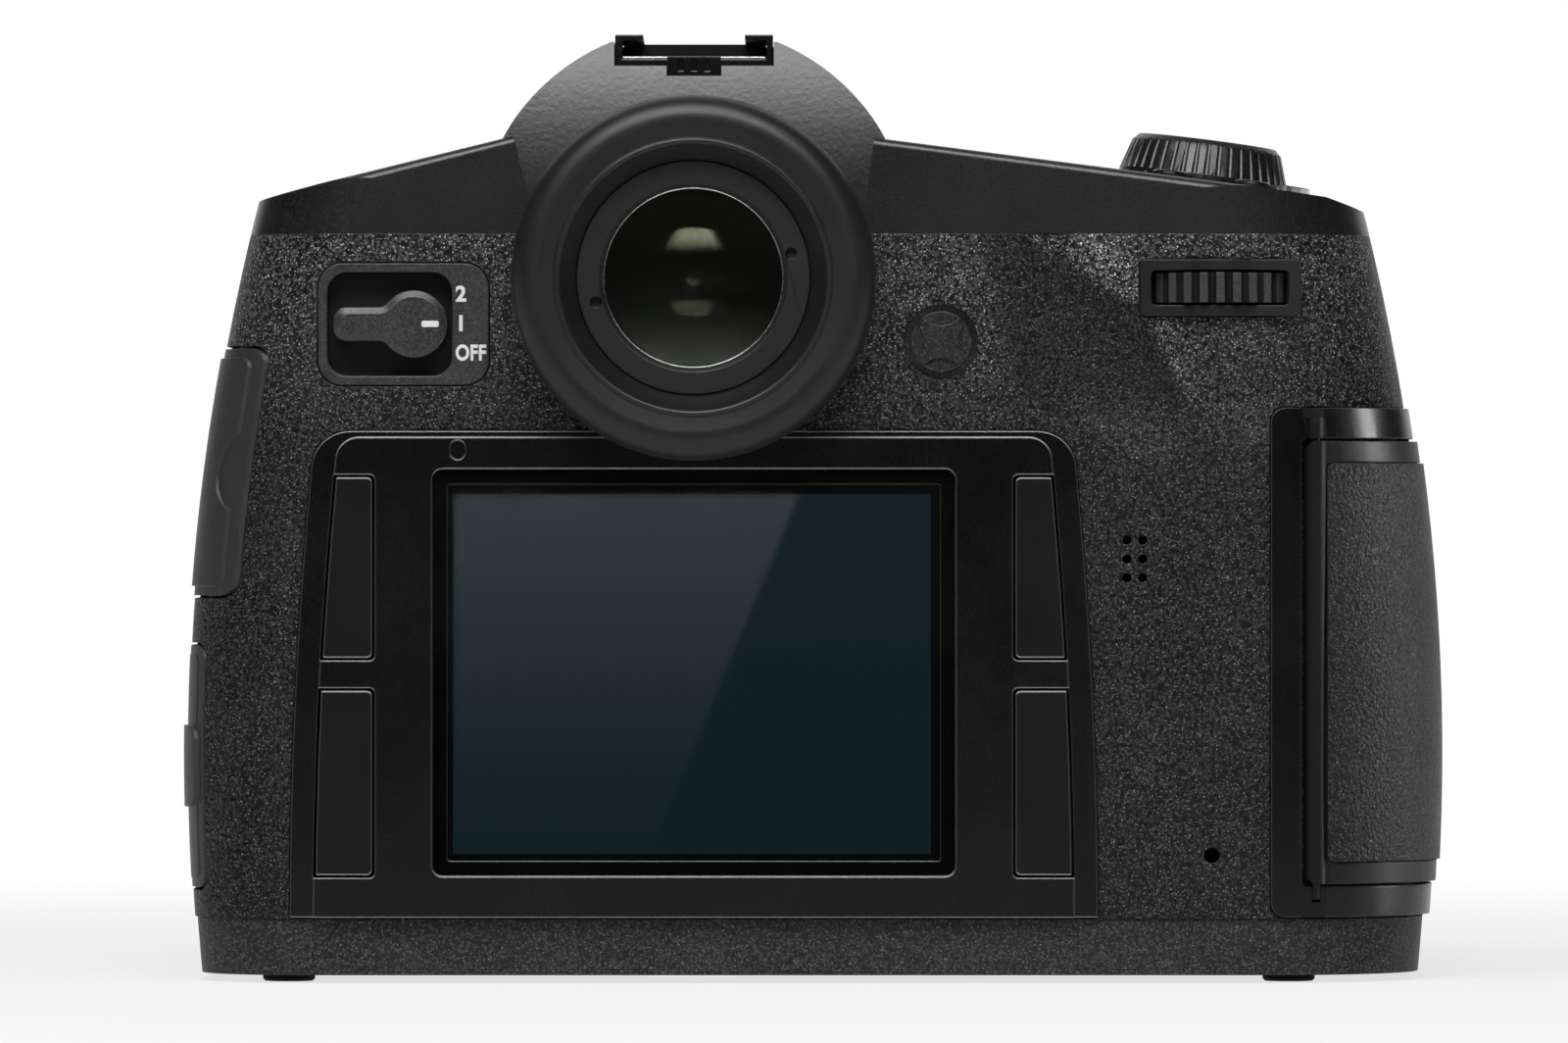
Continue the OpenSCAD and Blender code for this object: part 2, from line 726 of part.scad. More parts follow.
// Outline of the display frame or its field
module panel_outline(half_w, z1, r) {
    zc = z1 - r;
    half_top = half_w - panel_arc_r + sqrt(pow(panel_arc_r, 2) - pow(zc - panel_bottom, 2));
    intersection() {
        translate([-half_w, panel_bottom]) square([2 * half_w, zc - panel_bottom]);
        translate([half_w - panel_arc_r, panel_bottom]) circle(panel_arc_r, $fn = arc_fn);
        translate([panel_arc_r - half_w, panel_bottom]) circle(panel_arc_r, $fn = arc_fn);
    }
    translate([r - half_top, panel_bottom]) square([2 * half_top - 2 * r, z1 - panel_bottom]);
    for (s = [-1, 1]) {
        translate([s * (half_top - r), zc]) circle(r);
    }
}

// Outline of one display button, grown by a gap
module button_outline(side, upper, grow) {
    z0 = upper ? button_gap_z + button_gap : button_z0;
    z1 = upper ? button_z1 : button_gap_z - button_gap;
    x0 = side > 0 ? button_x : -far;
    x1 = side > 0 ? far : -button_x;
    intersection() {
        panel_outline(field_half_w - 0.3 + grow, field_top, panel_corner_r - 2);
        round_rect([x0 - grow, z0 - grow], [x1 + grow, z1 + grow], 0.7);
    }
}

// Region of the card door, seen from behind
module door_region(x0, z0, z1, y1, r) {
    prism_y(-far, y1) round_rect([x0, z0], [far, z1], r);
}

// Region of a port flap, seen from the left
module flap_region(y0, z0, z1, grow, room) {
    prism_x(-far, -30) round_rect([-y0 - grow, z0 - grow], [flap_hinge_y + room, z1 + grow], 2);
}

// Bead or groove along a flap's hinge
module flap_bead(z0, z1, r) {
    dx = left_x(z1, bead_r) - left_x(z0, bead_r);
    translate([left_x(z0, bead_r), flap_hinge_y, z0]) rotate([0, atan2(dx, z1 - z0), 0])
        cylinder(r = r, h = sqrt(dx * dx + pow(z1 - z0, 2)));
}

// Places of the four base screws
base_screw_places = [[-57, 2], [-40, 26], [36, -17], [36, 26]];

// Housings and covers

module rear_housing() {
    color(leather) difference() {
        union() {
            intersection() {
                body_layer(0, wall, base_h, seam_z);
                block([-far, -far, 0], [far, split_y, far]);
            }
            rod_y(joy_x, joy_z, joy_carrier_r + 1.2, inner_rear_y - lap, rear_y + joy_pivot + 4);
            block([door_frame_x + 2, inner_rear_y - lap, base_h], [hinge_x + 4, inner_rear_y + 1.4, door_frame_top]);
        }
        prism_y(rear_y - over, rear_y + panel_seat)
            panel_outline(panel_half_w + seat_gap, panel_top + seat_gap, panel_corner_r + seat_gap);
        block([-panel_half_w - seat_gap, rear_y - over, 0],
            [panel_half_w + seat_gap, rear_y + panel_seat, panel_bottom + lap]);
        prism_y(rear_y, inner_rear_y + lap)
            round_rect([-field_half_w, button_z0 - 2.4], [field_half_w, button_z1 + 2.4], 2);
        prism_y(rear_y - over, inner_rear_y + over)
            round_rect([-plate_x0 - seat_gap, plate_z0 - seat_gap], [-plate_x1 + seat_gap, plate_z1 + seat_gap],
                plate_r + seat_gap);
        rod_y(joy_x, joy_z, joy_hole_r, rear_y - over, inner_rear_y + lap);
        rod_y(joy_x, joy_z, joy_carrier_r + seat_gap, inner_rear_y, rear_y + joy_pivot + 5);
        prism_y(rear_y - over, inner_rear_y + over)
            round_rect([wheel_x - wheel_frame_half_w - seat_gap, wheel_z - wheel_frame_half_h - seat_gap],
                [wheel_x + wheel_frame_half_w + seat_gap, wheel_z + wheel_frame_half_h + seat_gap], 0.8);
        translate([wheel_x, wheel_y, wheel_z - wheel_w / 2 - 0.6]) cylinder(r = wheel_r + 0.6, h = wheel_w + 1.2);
        rod_y(0, eye_z, barrel_r + seat_gap, rear_y - over, inner_rear_y + over);
        for (ix = [-1, 1], iz = [-1, 0, 1]) {
            rod_y(speaker_x + ix * speaker_pitch_x, speaker_z + iz * speaker_pitch_z, speaker_hole_r,
                rear_y - over, inner_rear_y + over);
        }
        rod_y(mic_x, mic_z, mic_r, rear_y - over, inner_rear_y + over);
        thumb_hollow();
        difference() {
            door_region(door_frame_x - seat_gap, base_h, door_frame_top + seat_gap, door_frame_y1 + seat_gap, 2);
            body_form(door_seat, 0, seam_z);
        }
        block([hinge_x - hinge_r - move_gap, rear_y, door_z0 - move_gap],
            [hinge_x + 3, hinge_y + hinge_r + move_gap, door_z1 + move_gap]);
        block([body_right - 14, -10, 17], [far, 3, 61]);
        flap_seat(upper_flap_y, upper_flap_z0, upper_flap_z1);
        flap_seat(lower_flap_y, lower_flap_z0, lower_flap_z1);
        socket_holes(move_gap);
    }
}

// The soft hollow for the thumb
module thumb_hollow() {
    translate([hollow_x, rear_y - hollow_r + hollow_depth, hollow_z]) rotate([0, -hollow_lean, 0])
        rotate_extrude($fn = fine_fn) intersection() {
            translate([hollow_r - hollow_long_r, 0]) circle(hollow_long_r, $fn = fine_fn);
            translate([0, -30]) square([60, 60]);
        }
}

// Seat of a port flap
module flap_seat(y0, z0, z1) {
    difference() {
        flap_region(y0, z0, z1, move_gap, flap_room);
        body_form(flap_t + move_gap, 0, seam_z);
    }
    flap_bead(z0 - move_gap, z1 + move_gap, bead_r + move_gap);
}

// Holes for the sockets behind the flaps
module socket_holes(grow) {
    prism_x(-far, -50) {
        translate([-6, 72]) circle(3.4 + grow);
        round_rect([-12 - grow, 53 - grow], [-1 + grow, 58 + grow], 1);
        translate([-6, 64]) circle(2.2 + grow);
        translate([-5, 32]) circle(4.6 + grow);
        round_rect([-10 - grow, 16 - grow], [-1 + grow, 22 + grow], 1);
    }
}

module front_housing() {
    color(leather) difference() {
        union() {
            intersection() {
                body_layer(0, wall, base_h, seam_z);
                block([-far, split_y, 0], [far, far, far]);
            }
            rod_y(0, lens_z, collar_r, front_y - lap, collar_y);
        }
        rod_y(0, lens_z, throat_r + 2, inner_front_y - over, collar_y + over);
        intersection() {
            body_layer(-over, skin_t - skin_proud, 0, seam_z);
            grip_region(seat_gap);
        }
        rod_y(-unlock_x, unlock_z, unlock_r + move_gap, inner_front_y - over, far);
        lock_pin_place() rotate([90, 0, 0]) translate([0, 0, -far]) cylinder(r = lock_pin_r + run_gap, h = 2 * far);
        for (a = [30 : 60 : 330]) {
            mount_screw_place(a) rotate([90, 0, 0]) cylinder(r = screw_head_r - 0.4 + seat_gap, h = 8);
        }
        lug_shanks(seat_gap);
    }
}

// Region of the skin on the grip
module grip_region(grow) {
    prism_y(split_y + 4 - grow, far)
        round_rect([grip_inner_x - 8 - grow, base_h + 5 - grow], [far, lug_z - lug_r - 1.5 + grow], 3);
}

module grip_skin() {
    color(rubber) intersection() {
        body_layer(-skin_proud, skin_t - skin_proud, 0, seam_z);
        grip_region(0);
    }
}

module top_cover() {
    shoe_front = shoe_y + shoe_len;
    color(satin) difference() {
        union() {
            difference() {
                top_form(0, seam_z);
                top_form(wall, seam_z - over);
            }
            on_slope(release_x, release_y) cylinder(r = release_r + 2.2, h = 1.2);
            for (s = [-1, 1]) {
                on_slope(top_button_x + s * top_button_pitch, -top_button_y)
                    cylinder(r = top_button_r + 1, h = 0.5);
            }
        }
        block([-shoe_half_w - seat_gap, rear_y - over, shoe_z], [shoe_half_w + seat_gap, shoe_front + seat_gap, far]);
        block([-tab_half_w - seat_gap, rear_y - over, shoe_z - 1.3], [tab_half_w + seat_gap, shoe_y, far]);
        rod_y(0, eye_z, barrel_r + seat_gap, rear_y - over, inner_rear_y + over);
        rod_y(0, eye_z, barrel_rim_r + seat_gap, inner_rear_y - run_gap, inner_rear_y + 3);
        on_slope(dial_x, dial_y) translate([0, 0, -8]) cylinder(r = dial_shaft_r + run_gap, h = 16);
        on_slope(release_x, release_y) translate([0, 0, -8]) cylinder(r = release_r + move_gap, h = 16);
        for (s = [-1, 1]) {
            on_slope(top_button_x + s * top_button_pitch, -top_button_y)
                translate([0, 0, -8]) cylinder(r = top_button_r + move_gap, h = 16);
        }
        on_slope(top_display_x, dial_y) block([-seat_gap, -top_display_d / 2 - seat_gap, -top_display_t],
            [top_display_w + seat_gap, top_display_d / 2 + seat_gap, over]);
    }
}

module base_plate() {
    color(leather) difference() {
        union() {
            difference() {
                body_form(base_step, 0, base_h);
                body_form(base_step + wall, floor_t, base_h + over);
            }
            for (p = base_screw_places) {
                translate([p[0], p[1], floor_t - lap]) cylinder(r = 2.4, h = base_h - floor_t + lap);
            }
        }
        translate([0, 0, -over]) cylinder(r = bush_r + seat_gap, h = far);
        block([battery_x - battery_w / 2 - move_gap, battery_y - battery_d / 2 - move_gap, -over],
            [battery_x + battery_w / 2 + move_gap, battery_y + battery_d / 2 + move_gap, far]);
        for (p = base_screw_places) {
            translate([p[0], p[1], -over]) cylinder(r = screw_head_r + 0.5 + seat_gap, h = over + 1.4);
            translate([p[0], p[1], -over]) cylinder(r = screw_head_r - 0.3 + seat_gap, h = over + base_h - 0.6);
        }
        foot_places() translate([0, 0, -over]) cylinder(r = foot_r - 1 + seat_gap, h = over + 1.6);
        translate([latch_x, latch_y, -over]) cylinder(r = latch_r + move_gap, h = over + latch_depth);
        translate([latch_x, latch_y, -over]) cylinder(r = latch_pin_r + run_gap, h = far);
    }
}

// Places of the four feet
module foot_places() {
    for (p = [[-foot_left_x, -foot_rear_y], [-foot_left_x, foot_front_y], [foot_right_x, -foot_rear_y],
        [foot_grip_x, foot_front_y]]) {
        translate([p[0], p[1], 0]) children();
    }
}

module base_feet() {
    color(rubber) foot_places() {
        translate([0, 0, -foot_h]) cylinder(r1 = foot_r - 0.3, r2 = foot_r, h = 0.3);
        translate([0, 0, 0.3 - foot_h]) cylinder(r = foot_r, h = foot_h - 0.3);
        translate([0, 0, -lap]) cylinder(r = foot_r - 1, h = lap + 1.6);
    }
}

module tripod_bush() {
    color(steel) difference() {
        union() {
            cylinder(r = bush_r, h = tripod_depth + 1.6);
            translate([0, 0, floor_t]) cylinder(r = bush_r + 2, h = 1.2);
        }
        translate([0, 0, -over]) cylinder(r = tripod_r, h = tripod_depth + over);
    }
}

// Display and its buttons

module display_frame() {
    color(satin) difference() {
        union() {
            prism_y(rear_y - border_proud, rear_y + panel_seat) panel_outline(panel_half_w, panel_top, panel_corner_r);
            prism_y(field_y, rear_y) panel_outline(field_half_w, field_top, panel_corner_r - 2);
        }
        prism_y(field_y - over, field_y + glass_t + 0.05)
            round_rect([-window_half_w, window_z0], [window_half_w, window_z1], 1.4);
        prism_y(field_y - over, far) round_rect([glass_ledge - window_half_w, window_z0 + glass_ledge],
            [window_half_w - glass_ledge, window_z1 - glass_ledge], 0.3);
        for (side = [-1, 1], upper = [true, false]) {
            prism_y(field_y - over, far) button_outline(side, upper, move_gap);
        }
        light_sensor_form(seat_gap, 0.9);
    }
}

module display_glass() {
    color(glass) prism_y(field_y + 0.05, field_y + glass_t + 0.05)
        round_rect([seat_gap - window_half_w, window_z0 + seat_gap], [window_half_w - seat_gap, window_z1 - seat_gap], 1.3);
}

module display_panel() {
    x1 = window_half_w - glass_ledge - seat_gap;
    y0 = field_y + glass_t + 0.05;
    color(satin) block([-x1, y0, window_z0 + glass_ledge + seat_gap], [x1, y0 + lcd_t, window_z1 - glass_ledge - seat_gap]);
}

// The light sensor's window, with round ends
module light_sensor_form(grow, depth) {
    y0 = rear_y - border_proud - over;
    for (s = [-1, 1]) {
        rod_y(-sensor_eye_x, sensor_eye_z + s * 0.3, sensor_eye_r + grow, y0, field_y + depth);
    }
}

module light_sensor() {
    color(glass) intersection() {
        light_sensor_form(0, 0.9);
        block([-far, field_y + 0.1, 0], [far, far, far]);
    }
}

module display_button(side, upper) {
    color(satin) prism_y(field_y - 0.15, field_y - 0.15 + button_t) button_outline(side, upper, 0);
}

module button_upper_left() display_button(-1, true);

module button_lower_left() display_button(-1, false);

module button_upper_right() display_button(1, true);

module button_lower_right() display_button(1, false);

// Mode switch

module mode_plate() {
    y0 = rear_y + 0.15;
    color(satin) difference() {
        prism_y(y0, y0 + well_depth + 1.4)
            round_rect([-plate_x0, plate_z0], [-plate_x1, plate_z1], plate_r);
        prism_y(y0 - over, y0 + well_depth)
            round_rect([-plate_x0 + plate_border, plate_z0 + plate_border], [-well_x1, plate_z1 - plate_border], well_r);
        rod_y(-lever_x, lever_z, lever_pin_r + run_gap, rear_y - over, far);
    }
}

module mode_lever() {
    y0 = rear_y - lever_proud;
    y1 = rear_y + well_depth - 0.3;
    tip = lever_arm - lever_w / 2;
    color(satin) {
        rod_y(-lever_x, lever_z, lever_r, y0 + 1, y1);
        translate([-lever_x, y0, lever_z]) rotate([-90, 0, 0]) cylinder(r1 = lever_r - 0.9, r2 = lever_r, h = 1);
        rod_y(-lever_x, lever_z, lever_pin_r, y1 - lap, y1 + 3.4);
        prism_y(y0 + 0.5, y1) intersection() {
            translate([-lever_x, lever_z]) circle(lever_arm);
            translate([-lever_x - far, lever_z - lever_w / 2]) square([far, lever_w]);
        }
        prism_y(y0, y0 + 0.5 + lap) intersection() {
            translate([-lever_x, lever_z]) circle(lever_arm - 0.9);
            translate([-lever_x - far, lever_z - lever_w / 2 + 1]) square([far, lever_w - 2]);
        }
    }
}

// Joystick

module joystick_carrier() {
    y0 = inner_rear_y + joy_travel + 0.3;
    pivot_y = rear_y + joy_pivot;
    color(satin) difference() {
        rod_y(joy_x, joy_z, joy_carrier_r, y0 - joy_travel - 0.3, pivot_y + 3.6);
        rod_y(joy_x, joy_z, joy_carrier_r - 1.3, rear_y, pivot_y + 2.4);
        translate([joy_x - far, pivot_y, joy_z]) rotate([0, 90, 0]) cylinder(r = joy_pin_r + run_gap, h = 2 * far);
    }
}

module joystick_gimbal() {
    pivot_y = rear_y + joy_pivot;
    ring_r = joy_carrier_r - 1.3 - move_gap;
    color(steel) difference() {
        union() {
            rod_y(joy_x, joy_z, ring_r, pivot_y - 1.2, pivot_y + 1.2);
            translate([joy_x - joy_carrier_r + 0.3, pivot_y, joy_z]) rotate([0, 90, 0])
                cylinder(r = joy_pin_r, h = 2 * joy_carrier_r - 0.6);
        }
        rod_y(joy_x, joy_z, 3.2, pivot_y - 3, pivot_y + 3);
        translate([joy_x, pivot_y, joy_z - far]) cylinder(r = joy_pin_r + run_gap, h = 2 * far);
    }
}

module joystick_cap() {
    pivot_y = rear_y + joy_pivot;
    pin_h = 2 * (joy_carrier_r - 1.3 - move_gap) - 0.4;
    y0 = rear_y - joy_proud;
    color(rubber) difference() {
        union() {
            rod_y(joy_x, joy_z, joy_cap_r, y0 + 0.6, y0 + 2);
            translate([joy_x, y0, joy_z]) rotate([-90, 0, 0]) cylinder(r1 = joy_cap_r - 0.6, r2 = joy_cap_r, h = 0.6);
            rod_y(joy_x, joy_z, 2, y0 + 1, pivot_y + 1.2);
            translate([joy_x, pivot_y, joy_z - pin_h / 2]) cylinder(r = joy_pin_r, h = pin_h);
        }
        for (s = [-1, 1]) {
            rod_y(joy_x + s * 5.1, joy_z, 3, y0 - over, y0 + 0.5);
            rod_y(joy_x, joy_z + s * 5, 3, y0 - over, y0 + 0.5);
        }
    }
}

// Thumbwheel

module thumbwheel_frame() {
    hw = wheel_frame_half_w;
    hh = wheel_frame_half_h;
    slot = wheel_w / 2 + move_gap;
    guard_r = wheel_y - rear_y + wheel_frame_proud + guard_proud;
    color(satin) difference() {
        union() {
            prism_y(rear_y - wheel_frame_proud, inner_rear_y - 0.8)
                round_rect([wheel_x - hw, wheel_z - hh], [wheel_x + hw, wheel_z + hh], 0.7);
            intersection() {
                translate([wheel_x, wheel_y, wheel_z - hh]) cylinder(r = guard_r, h = 2 * hh);
                block([wheel_x - hw, -far, 0], [wheel_x + hw, rear_y, far]);
            }
            for (s = [-1, 1]) {
                block([wheel_x - 7, rear_y, wheel_z + s * (hh - 0.25) - 0.25],
                    [wheel_x + 7, wheel_y + 9, wheel_z + s * (hh - 0.25) + 0.25]);
            }
        }
        prism_y(-far, inner_rear_y) round_rect([wheel_x - wheel_window_half_w, wheel_z - slot],
            [wheel_x + wheel_window_half_w, wheel_z + slot], 0.7);
        translate([wheel_x, wheel_y, wheel_z - slot]) cylinder(r = wheel_r + 0.6, h = 2 * slot);
    }
}

module thumbwheel_axle() {
    h = 2 * wheel_frame_half_h - 1.2;
    color(steel) {
        translate([wheel_x, wheel_y, wheel_z - h / 2]) cylinder(r = axle_r, h = h);
        for (s = [-1, 1]) {
            block([wheel_x - 4, wheel_y - 4, wheel_z + s * (h / 2 - 0.3) - 0.3],
                [wheel_x + 4, wheel_y + wheel_r + 3, wheel_z + s * (h / 2 - 0.3) + 0.3]);
        }
        block([wheel_x - 4, wheel_y + wheel_r + 1, wheel_z - h / 2], [wheel_x + 4, wheel_y + wheel_r + 3, wheel_z + h / 2]);
    }
}

module thumbwheel() {
    color(rubber) difference() {
        translate([wheel_x, wheel_y, wheel_z - wheel_w / 2]) cylinder(r = wheel_r, h = wheel_w);
        translate([wheel_x, wheel_y, 0]) cylinder(r = axle_r + run_gap, h = far);
        for (i = [0 : wheel_teeth - 1]) {
            translate([wheel_x, wheel_y, wheel_z]) rotate([0, 0, (i + 0.5) * 360 / wheel_teeth])
                translate([0, -wheel_r, -wheel_w]) cylinder(r = wheel_groove_r, h = 2 * wheel_w, $fn = 16);
        }
    }
}

// Eyepiece

module eyepiece_barrel() {
    y0 = rear_y - 4.6;
    y1 = rear_y + 12;
    color(satin) difference() {
        union() {
            rod_y(0, eye_z, barrel_r, y0, y1);
            rod_y(0, eye_z, barrel_rim_r, inner_rear_y, inner_rear_y + 2);
        }
        rod_y(0, eye_z, cell_r + run_gap, y0 - over, y1 - 1.2);
        prism_y(y0, far) round_rect([-mask_w / 2, eye_z - mask_h / 2], [mask_w / 2, eye_z + mask_h / 2], 0.6);
    }
}

module eyecup() {
    y0 = rear_y - eyecup_proud;
    y1 = rear_y - 4.6 - move_gap;
    rim = eyecup_rim_r;
    ring_y = rear_y - eye_ring_proud + 0.4;
    foot = 1.6;
    color(rubber) turn_y(0, eye_z) {
        polygon([[eye_ring_r, y1], [eye_ring_r, ring_y], [eyecup_ridge_r, y0 + 0.4], [eyecup_r - rim, y0],
            [eyecup_r - rim, y0 + rim], [eyecup_r, y0 + rim], [eyecup_r, y1 - foot], [eyecup_r - foot, y1 - foot],
            [eyecup_r - foot, y1]]);
        translate([eyecup_r - rim, y0 + rim]) circle(rim);
        translate([eyecup_r - foot, y1 - foot]) circle(foot);
        translate([eyecup_ridge_r + 0.1, y0 + 0.55]) circle(0.5);
    }
}

module eyepiece_ring() {
    y0 = rear_y - eye_ring_proud;
    y1 = rear_y - 4.6 - move_gap;
    color(satin) difference() {
        turn_y(0, eye_z) {
            polygon([[eye_open_r, y0 + 0.6], [eye_open_r + 0.6, y0], [eye_ring_r, y0], [eye_ring_r, y0 + 1.4],
                [eye_open_r, y0 + 1.4]]);
            translate([eye_lens_r + seat_gap, y0 + 1]) square([eye_ring_r - eye_lens_r - seat_gap, y1 - y0 - 1]);
            translate([eye_lens_r + seat_gap, y1 - lap]) square([cell_r - eye_lens_r - seat_gap, lap + 6]);
        }
        for (a = [14, 194]) {
            rod_y(12.8 * cos(a), eye_z + 12.8 * sin(a), 0.7, y0 - over, y0 + 0.9);
        }
    }
}

module eyepiece_lens() {
    y0 = rear_y - eye_ring_proud - 0.35;
    rear_r = 38;
    front_r = 60;
    color(glass) turn_y(0, eye_z) intersection() {
        translate([0, y0 - 1]) square([eye_lens_r, 9]);
        translate([0, y0 + rear_r]) circle(rear_r, $fn = fine_fn);
        translate([0, y0 + 6.4 - front_r]) circle(front_r, $fn = fine_fn);
    }
}

// Hot shoe

module hot_shoe_rail() {
    color(steel) difference() {
        prism_y(shoe_y, shoe_y + shoe_len) difference() {
            translate([-shoe_half_w, shoe_z]) square([2 * shoe_half_w, shoe_h]);
            translate([-slot_half_w, shoe_z + shoe_floor_t]) square([2 * slot_half_w, shoe_h - shoe_floor_t - lip_t]);
            translate([-lip_gap_half, shoe_z + shoe_floor_t]) square([2 * lip_gap_half, shoe_h]);
        }
        block([-4.6, shoe_y + 4, shoe_z - over], [4.6, shoe_y + 14, shoe_z + 2]);
    }
}

module hot_shoe_spring() {
    y0 = shoe_y - 0.85;
    z0 = shoe_z + shoe_floor_t;
    color(steel) difference() {
        union() {
            block([0.2 - slot_half_w, shoe_y + 0.2, z0], [slot_half_w - 0.2, shoe_y + 16, z0 + 0.3]);
            block([-tab_half_w, y0, z0], [tab_half_w, shoe_y + 1, z0 + 0.3]);
            block([-tab_half_w, y0, shoe_z - 1.2], [tab_half_w, y0 + 0.7, z0 + 0.3]);
        }
        block([-4.8, shoe_y + 3.6, z0 - over], [4.8, far, z0 + over]);
        for (s = [-1, 0, 1]) {
            block([s * 1.7 - 0.4, y0 - over, shoe_z - 0.7], [s * 1.7 + 0.4, y0 + 0.35, z0]);
        }
    }
}

module hot_shoe_contacts() {
    color(rubber) {
        block([-4.5, shoe_y + 4.1, shoe_z], [4.5, shoe_y + 13.9, shoe_z + shoe_floor_t]);
        translate([0, shoe_y + 9, shoe_z]) cylinder(r = 1.3, h = shoe_floor_t + 0.3);
        for (p = [[-3, 6], [3, 6], [-3, 12], [3, 12]]) {
            translate([p[0], shoe_y + p[1], shoe_z]) cylinder(r = 0.7, h = shoe_floor_t + 0.3);
        }
    }
}

// Controls on the top cover

module speed_dial() {
    foot = 0.35;
    edge = 0.8;
    color(satin) on_slope(dial_x, dial_y) difference() {
        union() {
            rotate_extrude($fn = 96) {
                polygon([[0, foot], [dial_r, foot], [dial_r, foot + 0.8], [dial_top_r, foot + dial_h - edge],
                    [dial_top_r - edge, foot + dial_h], [0, foot + dial_h]]);
            }
            translate([0, 0, -wall - 3]) cylinder(r = dial_shaft_r, h = wall + 4);
        }
        for (i = [0 : dial_teeth - 1]) {
            rotate([0, 0, i * 360 / dial_teeth]) translate([dial_r + 0.1, 0, foot + 0.9])
                rotate([0, -14.5, 0]) cylinder(r = 0.42, h = dial_h + 2, $fn = 16);
        }
    }
}

module top_button(side) {
    color(satin) on_slope(top_button_x + side * top_button_pitch, -top_button_y) {
        translate([0, 0, -2.2]) cylinder(r = top_button_r, h = 2.2 + top_button_h - 0.3);
        translate([0, 0, top_button_h - 0.3]) cylinder(r1 = top_button_r, r2 = top_button_r - 0.3, h = 0.3);
    }
}

module top_button_left() top_button(-1);

module top_button_right() top_button(1);

module shutter_button() {
    color(steel) on_slope(release_x, release_y) difference() {
        translate([0, 0, -2.4]) cylinder(r = release_r, h = release_h + 2.4);
        translate([0, 0, release_h + 19.2]) sphere(r = 20, $fn = 96);
    }
}

module top_display() {
    color(glass) on_slope(top_display_x, dial_y)
        block([0, -top_display_d / 2, -top_display_t], [top_display_w, top_display_d / 2, 0]);
}

// Card door

module card_door_frame() {
    color(satin) difference() {
        union() {
            intersection() {
                body_layer(-door_frame_proud, door_seat, 0, seam_z);
                door_region(door_frame_x, base_h + door_frame_lift, door_frame_top, door_frame_y1, 1.9);
            }
            translate([hinge_x, hinge_y, door_z1]) cylinder(r = knuckle_r, h = 2.6);
        }
        door_region(door_frame_x + door_bar, door_z0, door_z1, door_y1 + move_gap + 0.2, 0.8);
        translate([hinge_x, hinge_y, door_z0 - 2]) cylinder(r = hinge_pin_r + run_gap, h = door_z1 - door_z0 + 4);
    }
}

module card_door() {
    z0 = door_z0 + move_gap;
    z1 = door_z1 - move_gap;
    color(satin) {
        intersection() {
            union() {
                difference() {
                    intersection() {
                        body_layer(-door_proud, door_depth, 0, seam_z);
                        door_region(hinge_x + 0.3, z0 - over, z1 + over, door_y1, 0.8);
                    }
                    difference() {
                        door_region(hinge_x + hinge_r, z0 + pad_margin, z1 - pad_margin, door_y1 - pad_margin, 1.1);
                        body_form(-door_proud + 0.8, 0, seam_z);
                    }
                }
                translate([hinge_x, hinge_y, z0 - over]) cylinder(r = hinge_r, h = z1 - z0 + 2 * over);
            }
            door_region(hinge_x - hinge_r - run_gap, z0, z1, far, 1.8);
        }
        translate([hinge_x, hinge_y, door_z0 - 1.6]) cylinder(r = hinge_pin_r, h = door_z1 - door_z0 + 3.2);
    }
}

module card_door_pad() {
    z0 = door_z0 + move_gap + pad_margin + seat_gap;
    z1 = door_z1 - move_gap - pad_margin - seat_gap;
    color(rubber) intersection() {
        body_layer(-pad_proud, -door_proud + 0.8, 0, seam_z);
        door_region(hinge_x + hinge_r + seat_gap, z0, z1, door_y1 - pad_margin - seat_gap, 1);
    }
}

module card_sockets() {
    x1 = body_right - wall - 4;
    color(satin) difference() {
        block([x1 - 26, socket_y, door_z0 + 3.7], [x1, chamber_y0, door_z1 - 5.5]);
        block([x1 - 22, -8.2, 17.4], [x1 + over, -4.6, 60.4]);
        block([x1 - 22, -0.8, 26.8], [x1 + over, 1.6, 51.2]);
    }
}

// Port flaps and sockets

module port_flap(y0, z0, z1) {
    intersection() {
        body_layer(-0.1, flap_t, 0, seam_z);
        flap_region(y0, z0, z1, 0, 0);
    }
    flap_bead(z0 + 0.2, z1 - 0.2, bead_r);
}

module upper_port_flap() {
    color(rubber) {
        port_flap(upper_flap_y, upper_flap_z0, upper_flap_z1);
        intersection() {
            body_layer(-flap_proud, lap, 0, seam_z);
            prism_x(-far, -30) difference() {
                round_rect([1.2 - upper_flap_y, upper_flap_z0 + 1.2], [flap_hinge_y - 2, upper_flap_z1 - 1.2], 1.4);
                translate([-upper_flap_y - 1.6, (upper_flap_z0 + upper_flap_z1) / 2]) circle(5.6);
            }
        }
    }
}

module lower_port_flap() {
    lip_z = (lower_flap_z0 + lower_flap_z1) / 2;
    color(rubber) {
        port_flap(lower_flap_y, lower_flap_z0, lower_flap_z1);
        intersection() {
            body_layer(-flap_proud + 0.3, lap, 0, seam_z);
            prism_x(-far, -30)
                round_rect([1.2 - lower_flap_y, lower_flap_z0 + 1.2], [flap_hinge_y - 2, lower_flap_z1 - 1.2], 1.4);
        }
        intersection() {
            body_layer(-flap_proud - 0.2, lap, 0, seam_z);
            prism_x(-far, -30) round_rect([0.6 - lower_flap_y, lip_z - 5.2], [-5, lip_z + 5.2], 2);
        }
    }
}

